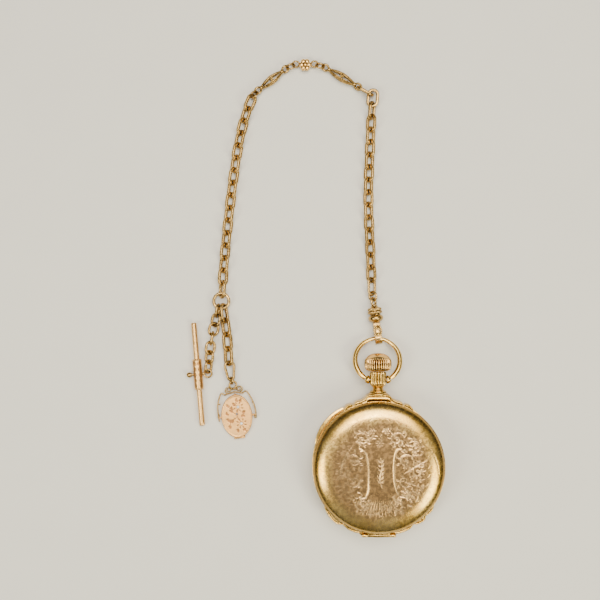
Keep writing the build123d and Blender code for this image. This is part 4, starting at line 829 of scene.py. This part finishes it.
def spindle(name, near, far):
    """Openwork spindle: four beaded ribs between two collars, a star on its middle and an eyelet at each end."""
    run = (joint_point(far) - joint_point(near)).normalized()
    low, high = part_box(name)
    reach = run * (((high.x - low.x) / 2 - EYELET_R) / abs(run.x))
    first, last = ((low + high) / 2 - reach) / MM, ((low + high) / 2 + reach) / MM
    along = (last - first).normalized()
    length = (last - first).length
    parts = [ring_piece(end, facing_of(along, 45), 1.42, 0.475) for end in (first, last)]
    shares = np.linspace(0, 1, 40)
    bow_out = np.interp(shares, [0, 0.06, 0.28, 0.5, 0.72, 0.94, 1], [0.5, 0.62, 1.45, 1.85, 1.45, 0.62, 0.5])
    bow_out = evened(bow_out, 9)
    runs = 1.6 + shares * (length - 3.2)
    up = along.cross(Vector((0, 0, 1)).cross(along)).normalized()
    for k in range(4):
        out = facing_of(along, 45 + 90 * k)
        across = along.cross(out)
        for edge in (-0.42, 0, 0.42):
            width = edge * np.clip(bow_out / 1.2, 0.3, 1)
            rib = [first + along * s + out * r + across * w for s, r, w in zip(runs, bow_out, width)]
            parts.append(tube_mesh("rib", rib, 0.2 if edge else 0.17, 8, normal=out))
        for s, r in zip(runs[3:-3:2], bow_out[3:-3:2]):
            parts.append(bead(first + along * s + out * (r + 0.17), 0.19, 1.0, 6, 8))
    for start, sense in ((1.2, 1), (length - 1.2, -1)):
        collar = [first + along * (start + sense * d) for d in (0, 0.15, 0.5, 0.9, 1.4)]
        parts.append(tube_mesh("collar", collar, [0.55, 0.85, 0.95, 0.85, 0.6], 16, normal=up))
    middle = first + along * (length / 2)
    parts.append(ring_piece(middle, along, 1.75, 0.26))
    for t in around(6):
        tip = middle + up * 1.95 + along * cos(t) + along.cross(up) * sin(t)
        parts.append(tube_mesh("ray", [middle + up * 2.0, tip], [0.3, 0.12], 8, normal=up))
    place(joined(name + "_openwork", parts), name.replace("_link", ""), *CHAIN, (name,))


spindle("right_taper_link", "right_corner", "flower_right")
spindle("left_taper_link", "flower_left", "left_corner")

charm = sum(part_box("flower_charm"), Vector()) / 2 / MM
petals = []
for count, reach, height, *size in ((6, 1.55, 0.62, 0.98, 0.5, 10, 18), (12, 0.86, 1.0, 0.2, 1.0, 6, 10)):
    for t in around(count):
        petals.append(bead(charm + Vector((reach * cos(t), reach * sin(t), height)), *size))
petals.append(bead(charm + Vector((0, 0, 0.95)), 0.72, 0.55, 10, 18))
place(joined("flower_petals", petals), "flower", "gold_chain", crown_gold)

# --- T-bar
bar_at = joint_point("t_bar_spin")
pin_way = Vector(JOINTS["t_bar_spin"]["axis"]).normalized()
bar_up = Vector((-pin_way.y, pin_way.x, 0))
bar_low, bar_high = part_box("t_bar")
bar_half = (bar_high.y - bar_low.y) / 2 / MM / bar_up.y - 0.1
collar_art = Engraving(6.6, 6.6, 0.05)
for row in (-1, 1):
    for k in range(5):
        cx, cy = -4.6 + 2.3 * k, row * 1.3
        collar_art.stroke(spiral(cx, cy, 0.85, row * k, 1.2, row), 0.42, 0.1, taper=False)
        collar_art.stroke(comma(cx + 0.8, cy, row * 0.9, 1.2, -1.2), 0.5, 0.1)
        collar_art.stroke(comma(cx - 0.6, cy, 2.6 * row, 1.1, 1.1), 0.5, 0.1)
for _ in range(60):
    cx, cy = rng.uniform(-5.4, 5.4), rng.uniform(-6, 6)
    collar_art.stroke([(cx, cy), (cx + 0.5, cy + rng.normal(0, 0.25))], 0.1, 0.035)


def collar_cut(s, angles):
    wrapped = (angles + pi) % (2 * pi) - pi
    return np.where(np.abs(s) < 5.7, collar_art.sample(s + 0 * angles, wrapped * 1.95 + 0 * s), 0.0)


bar_line = [(-bar_half, 0.0), (-bar_half, 0.7), (-bar_half + 0.1, 1.0), (-bar_half + 0.35, 1.15)]
bar_line += [(x, 1.15) for x in np.linspace(-bar_half + 1, -6.5, 12)]
bar_line += [(-6.4, 1.3), (-6.32, 1.8), (-6.2, 1.95), (-6.0, 1.97), (-5.85, 1.86), (-5.75, 1.9)]
bar_line += [(x, 1.93) for x in np.linspace(-5.7, 5.7, 150)] + [(-x, r) for x, r in reversed(bar_line)]
t_bar = turned("t_bar_engraved", bar_at, bar_up, bar_line, "t_bar", "gold_chain", bar_gold, 160, collar_cut,
               hides=("t_bar",))
line_cut = np.clip(-collar_cut(np.array(bar_line)[:, :1], around(160)[None, :]) / 0.05, 0, 1)
layer = t_bar.data.attributes.new("cut", "FLOAT", "POINT")
layer.data.foreach_set("value", line_cut.reshape(-1).astype(np.float32))
knob = bead(bar_at / MM - pin_way * 3.75, 1.12, 1.0, 16, 28)
place(knob, "t_bar_eye", *CHAIN).name = "t_bar_ball_knob"

# --- fob
fob = joint_point("fob_spin") / MM


def by_fob(points):
    """Points given from the centre of the fob, in millimetres."""
    return [(fob.x + x, fob.y + y, fob.z) for x, y in points]


WIRE = 0.32
wires = []
for cx, cy, sense, start in ((-3.55, 10.95, -1, -1.75), (0.95, 11.6, 1, -1.55)):
    curl = by_fob(spiral(cx, cy, 1.55, start, 1.4, sense, 0.22, 44))
    wires.append(tube_mesh("curl", curl, np.linspace(WIRE, 0.24, 44), 12))
for run in ([(-3.8, 9.42), (-5.2, 8.95), (-6.6, 9.5), (-7.5, 7.6), (-8.05, 4.9), (-8.05, 2.2), (-7.75, 0),
             (-7.4, -2.4)],
            [(0.95, 10.05), (2.2, 9.75), (3.9, 10.6), (5.7, 8.3), (7.1, 5.4), (7.9, 2.4), (8.1, 0), (8.1, -0.8)],
            [(-3.9, 9.42), (-2.6, 9.75), (-1, 10.2), (1, 10.05)]):
    wires.append(tube_mesh("run", by_fob(smooth_line(run, 10)), WIRE, 12))
for x0, x1, y in ((-8.1, -7.05, 4.95), (7.1, 6.35, 6.0)):
    wires.append(tube_mesh("strut", by_fob([(x0, y), ((x0 + x1) / 2, y), (x1, y)]), [0.3, 0.26, 0.34], 12))
for side in (-1, 1):
    sleeve = by_fob([(side * x, 0) for x in (7.3, 7.4, 8.0, 8.1)])
    wires.append(tube_mesh("sleeve", sleeve, [0.6, 0.75, 0.75, 0.6], 20))
top_link = Vector((fob.x - 1.11, fob.y + 11.55, fob.z))
wires.append(ring_piece(top_link, Vector((0, 1, 0)), 1.1, WIRE, 12, 36))
place(joined("fob_scrolled_frame", wires), "fob_frame", "gold_chain", dark_wire, ("fob_frame",))

medal_low, medal_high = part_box("fob_medallion")
HALF_X = 6.5
_, HALF_Y, HALF_Z = (medal_high - medal_low) / 2 / MM
medal_art = Engraving(7, 9.8, 0.05)
STONES = ((0.9, 3.9), (1.7, -3.2), (0.15, 0.95))
medal_art.stroke(smooth_line([(0.9, 3.2), (0.3, 1.6), (0.2, 0), (0.8, -1.6), (1.6, -2.6)]), 0.32, 0.1, taper=False)
medal_art.stroke(smooth_line([(0.2, 0.6), (-1.3, 1.6), (-2.6, 2.9), (-3, 4.2)]), 0.3, 0.09)
medal_art.stroke(smooth_line([(0.3, -0.4), (-1.3, -1.2), (-2.8, -2.4), (-3.2, -4)]), 0.3, 0.09)
for cx, cy in STONES[:2]:
    for turn in around(8) + radians(20):
        x, y = cx + 1.15 * cos(turn), cy + 1.15 * sin(turn)
        medal_art.stroke(comma(x, y, turn, 1.1, 0.4), 0.36, 0.11)
MEDAL_LEAVES = (
    (-1.5, 1.9, 2.4), (-2.3, 2.8, 0.9), (-3, 4, 2), (-1.6, -1.4, 3.9), (-2.6, -2.2, 2.4), (-3.1, -3.6, 4.4),
    (-0.4, 4.4, 1.9), (2.4, 1.2, 0.2), (2, 0.3, -0.7), (-4, 0.6, 1.4), (-3.8, -0.6, 4.6), (0.4, 6, 1.2),
    (1.6, 5.9, 0.6), (0.2, -5.4, 4.2), (2.4, -5.4, 5.2)
)
for x, y, way in MEDAL_LEAVES:
    medal_art.stroke(comma(x, y, way, 1.5, 0.7), 0.6, 0.13)
    medal_art.stroke(comma(x, y, way + 0.8, 1.1, -0.6), 0.5, 0.11)
    medal_art.stroke(comma(x, y, way - 0.9, 1.0, 0.6), 0.36, 0.1)
for _ in range(60):
    x, y = scattered(5.6)
    medal_art.stroke(comma(x, 1.3 * y, rng.random() * 6.28, 0.8 + 1.6 * rng.random(), 0.1), 0.07, 0.014)

share = np.concatenate([np.linspace(0.01, 0.9, 110), [0.915, 0.93, 0.945, 0.96, 0.975, 0.988, 0.997, 1.0]])
height = np.concatenate([np.linspace(1.06, 1.0, 110), [1.02, 1.1, 1.15, 1.15, 1.08, 0.95, 0.7, 0.35]])
height = height * (HALF_Z / 1.15)
turns = around(420)
px = HALF_X * share[:, None] * np.cos(turns)
py = HALF_Y * share[:, None] * np.sin(turns)
relief = medal_art.sample(px, py)
relief[110:] = 0
upper = np.stack([px, py, height[:, None] + relief], axis=-1)
under = np.stack([px, py, -height[:, None] + 0 * px], axis=-1)[::-1]
both = np.concatenate([upper, under])
TILT = radians(5.5)
x, y = rotated(both[..., 0], both[..., 1], TILT)
both = np.stack([x + fob.x, y + fob.y, both[..., 2] + fob.z], axis=-1)
medal_cut = np.concatenate([np.clip(-relief / 0.06, 0, 1), np.zeros_like(relief)])


def on_medallion(obj, material=medal_gold, hides=()):
    return place(obj, "fob_medallion", "gold_medallion", material, hides)


on_medallion(sheet_mesh("fob_engraved_medallion", both, wrap_u=True, attribute=medal_cut), hides=("fob_medallion",))
extras = []
for side in (-1, 1):
    pin = by_fob([rotated(side * d, 0, TILT) for d in (6.3, 6.5, 7.9, 8.1)])
    extras.append(tube_mesh("pin", pin, [0.3, 0.34, 0.34, 0.2], 14))
tab = by_fob([(-1.1, -9.35), (-0.9, -9.3), (3.4, -8.75), (3.6, -8.7)])
extras.append(tube_mesh("tab", tab, [0.3, 0.5, 0.5, 0.3], 14))
extras.append(bead(fob + Vector((-0.83, 9.1, 0)), 0.5, 1.0, 10, 16))
on_medallion(joined("fob_medallion_pins_and_tab", extras))
claws = []
for (x, y), radius in zip(STONES, (0.62, 0.62, 0.5)):
    at = fob + Vector((*rotated(x, y, TILT), HALF_Z * 0.9))
    claws.append(ring_piece(at, Vector((0, 0, 1)), radius + 0.08, 0.13, 10, 32))
    gem = bead(at, radius, 0.62, 5, 9)
    gem.data.polygons.foreach_set("use_smooth", np.zeros(len(gem.data.polygons), bool))
    on_medallion(gem, dark_stone if radius < 0.6 else bright_stone).name = "fob_stone"
on_medallion(joined("fob_stone_settings", claws))


# --- dial marks
dial_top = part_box("dial")[1].z / MM
small_dial = joint_point("seconds_spin") / MM


class Ink:
    """Thin raised marks on the dial."""

    def __init__(self):
        self.mesh = bmesh.new()

    def bar(self, x0, y0, x1, y1, width, lift=0.03):
        along = Vector((x1 - x0, y1 - y0)).normalized()
        dx, dy = Vector((-along.y, along.x)) * width / 2
        corners = [(x0 + dx, y0 + dy), (x0 - dx, y0 - dy), (x1 - dx, y1 - dy), (x1 + dx, y1 + dy)]
        low = [self.mesh.verts.new((x * MM, y * MM, (dial_top + lift - 0.04) * MM)) for x, y in corners]
        top = [self.mesh.verts.new((x * MM, y * MM, (dial_top + lift) * MM)) for x, y in corners]
        self.mesh.faces.new(top)
        for k in range(4):
            self.mesh.faces.new((low[k], low[(k + 1) % 4], top[(k + 1) % 4], top[k]))

    def circle(self, cx, cy, radius, width, count=180, lift=0.03):
        for k in range(count):
            a, b = 2 * pi * k / count, 2 * pi * (k + 1.02) / count
            self.bar(cx + radius * cos(a), cy + radius * sin(a), cx + radius * cos(b), cy + radius * sin(b),
                     width, lift)

    def done(self, name):
        mesh = bpy.data.meshes.new(name)
        bmesh.ops.recalc_face_normals(self.mesh, faces=self.mesh.faces)
        self.mesh.to_mesh(mesh)
        self.mesh.free()
        return place(bpy.data.objects.new(name, mesh), "case", "dial_enamel", ink)


marks = Ink()
TRACK_IN, TRACK_OUT = 20.3, 21.2
for radius in (TRACK_IN, TRACK_OUT):
    marks.circle(CASE_X, CASE_Y, radius, 0.07)
for k in range(60):
    c, d = cos(radians(6 * k)), sin(radians(6 * k))
    marks.bar(TRACK_IN * c, TRACK_IN * d, TRACK_OUT * c, TRACK_OUT * d, 0.3 if k % 5 == 0 else 0.1)
ROMAN = {1: "I", 2: "II", 3: "III", 4: "IIII", 5: "V", 7: "VII", 8: "VIII", 9: "IX", 10: "X", 11: "XI", 12: "XII"}
WIDE = {"I": 0.95, "V": 2.0, "X": 2.1}
FOOT, HEAD = 15.9, 19.3
for hour, letters in ROMAN.items():
    angle = radians(180 - 30 * hour)
    out = Vector((cos(angle), sin(angle)))
    across = Vector((out.y, -out.x))
    left = -sum(WIDE[c] for c in letters) / 2

    def stroke(a, low, b, high, width):
        start, end = across * a + out * low, across * b + out * high
        marks.bar(start.x, start.y, end.x, end.y, width)

    for letter in letters:
        mid, half = left + WIDE[letter] / 2, WIDE[letter] / 2 - 0.22
        if letter == "I":
            stroke(mid, FOOT, mid, HEAD, 0.42)
        elif letter == "V":
            stroke(mid - half, HEAD, mid, FOOT, 0.46)
            stroke(mid + half, HEAD, mid, FOOT, 0.16)
        else:
            stroke(mid - half, HEAD, mid + half, FOOT, 0.46)
            stroke(mid + half, HEAD, mid - half, FOOT, 0.16)
        for level in (FOOT, HEAD):
            stroke(left + 0.05, level, left + WIDE[letter] - 0.05, level, 0.12)
        left += WIDE[letter]
marks.done("dial_numerals_and_minute_track")
SUNK = -0.09
seconds = Ink()
for radius in (4.7, 5.5):
    seconds.circle(small_dial.x, small_dial.y, radius, 0.06, 90, SUNK)
for k in range(60):
    c, d = cos(radians(6 * k)), sin(radians(6 * k))
    inner, outer = small_dial + Vector((c, d, 0)) * (4.1 if k % 15 == 0 else 4.7), small_dial + Vector((c, d, 0)) * 5.5
    seconds.bar(inner.x, inner.y, outer.x, outer.y, 0.2 if k % 5 == 0 else 0.07, SUNK)
seconds.done("seconds_dial_marks")


# --- edges of the CAD nodes
# Width in metres and segments of the rounding; the flower's charm is too fine for the chain's.
EDGES = {"gold_case": (0.00010, 2), "gold_chain": (0.00016, 2)}
for name, slot in SLOT_OF.items():
    soften(name, *((0.00006, 1) if name == "flower_charm" else EDGES.get(slot, (0.00003, 1))))


# --- floor, light and camera
def floor_paper():
    t = Tree("pale_studio_paper")
    t.surface(Base_Color=t.mix(t.noise(40, 3), (0.80, 0.79, 0.77), (0.76, 0.75, 0.73)), Roughness=0.85)
    t.bump(t.noise(2500, 4), 0.15, 0.0001)
    return t.material


FLOOR_HALF = 3.0
floor_mesh = bpy.data.meshes.new("studio_floor")
floor_mesh.from_pydata([(x * FLOOR_HALF, y * FLOOR_HALF, 0) for x, y in ((-1, -1), (1, -1), (1, 1), (-1, 1))], [],
                       [(0, 1, 2, 3)])
floor_mesh.materials.append(floor_paper())
floor = bpy.data.objects.new("studio_floor", floor_mesh)
bpy.context.scene.collection.objects.link(floor)

# The sky is dark at the horizon and pale overhead.
world = bpy.data.worlds.new("soft_studio")
bpy.context.scene.world = world
world.use_nodes = True
nodes, links = world.node_tree.nodes, world.node_tree.links
coords = nodes.new("ShaderNodeTexCoord")
turn = nodes.new("ShaderNodeMapping")
sky = nodes.new("ShaderNodeTexGradient")
sky_ramp = nodes.new("ShaderNodeValToRGB")
turn.inputs["Rotation"].default_value = (0, radians(90), 0)
for element, colour in zip(sky_ramp.color_ramp.elements, ((0.025, 0.025, 0.028, 1), (0.53, 0.54, 0.56, 1))):
    element.color = colour
links.new(coords.outputs["Generated"], turn.inputs["Vector"])
links.new(turn.outputs["Vector"], sky.inputs["Vector"])
links.new(sky.outputs["Fac"], sky_ramp.inputs["Fac"])
links.new(sky_ramp.outputs["Color"], nodes["Background"].inputs["Color"])
nodes["Background"].inputs["Strength"].default_value = 0.82


def soft_box(name, position, target, size, power, tint=(1, 1, 1)):
    data = bpy.data.lights.new(name, "AREA")
    data.shape = "RECTANGLE"
    data.size, data.size_y = size
    data.energy = power
    data.color = tint
    lamp = bpy.data.objects.new(name, data)
    bpy.context.scene.collection.objects.link(lamp)
    lamp.location = position
    lamp.rotation_mode = "QUATERNION"
    lamp.rotation_quaternion = (Vector(target) - Vector(position)).to_track_quat("-Z", "Y")


soft_box("key_softbox", (0.04, 0.27, 0.72), (0, 0.03, 0), (0.56, 0.36), 5.2, (1, 0.90, 0.70))
soft_box("top_softbox", (-0.02, 0.17, 0.95), (0, 0.03, 0), (0.34, 0.10), 2.0, (1, 0.95, 0.86))
soft_box("right_softbox", (0.40, -0.26, 0.58), (0, 0.03, 0), (0.26, 0.34), 3.2, (1, 0.94, 0.62))
soft_box("left_softbox", (-0.44, -0.16, 0.58), (-0.03, 0.06, 0), (0.22, 0.34), 2.6, (1, 0.93, 0.68))

SENSOR_MM, LENS_MM = 36, 56.5
CAMERA_AT = (-0.0324, 0.0688, 0.400)
camera_data = bpy.data.cameras.new("overhead_camera")
camera = bpy.data.objects.new("overhead_camera", camera_data)
bpy.context.scene.collection.objects.link(camera)
camera_data.sensor_width = SENSOR_MM
camera_data.lens = LENS_MM
camera_data.clip_start, camera_data.clip_end = 0.01, 10
camera.location = CAMERA_AT
bpy.context.scene.camera = camera
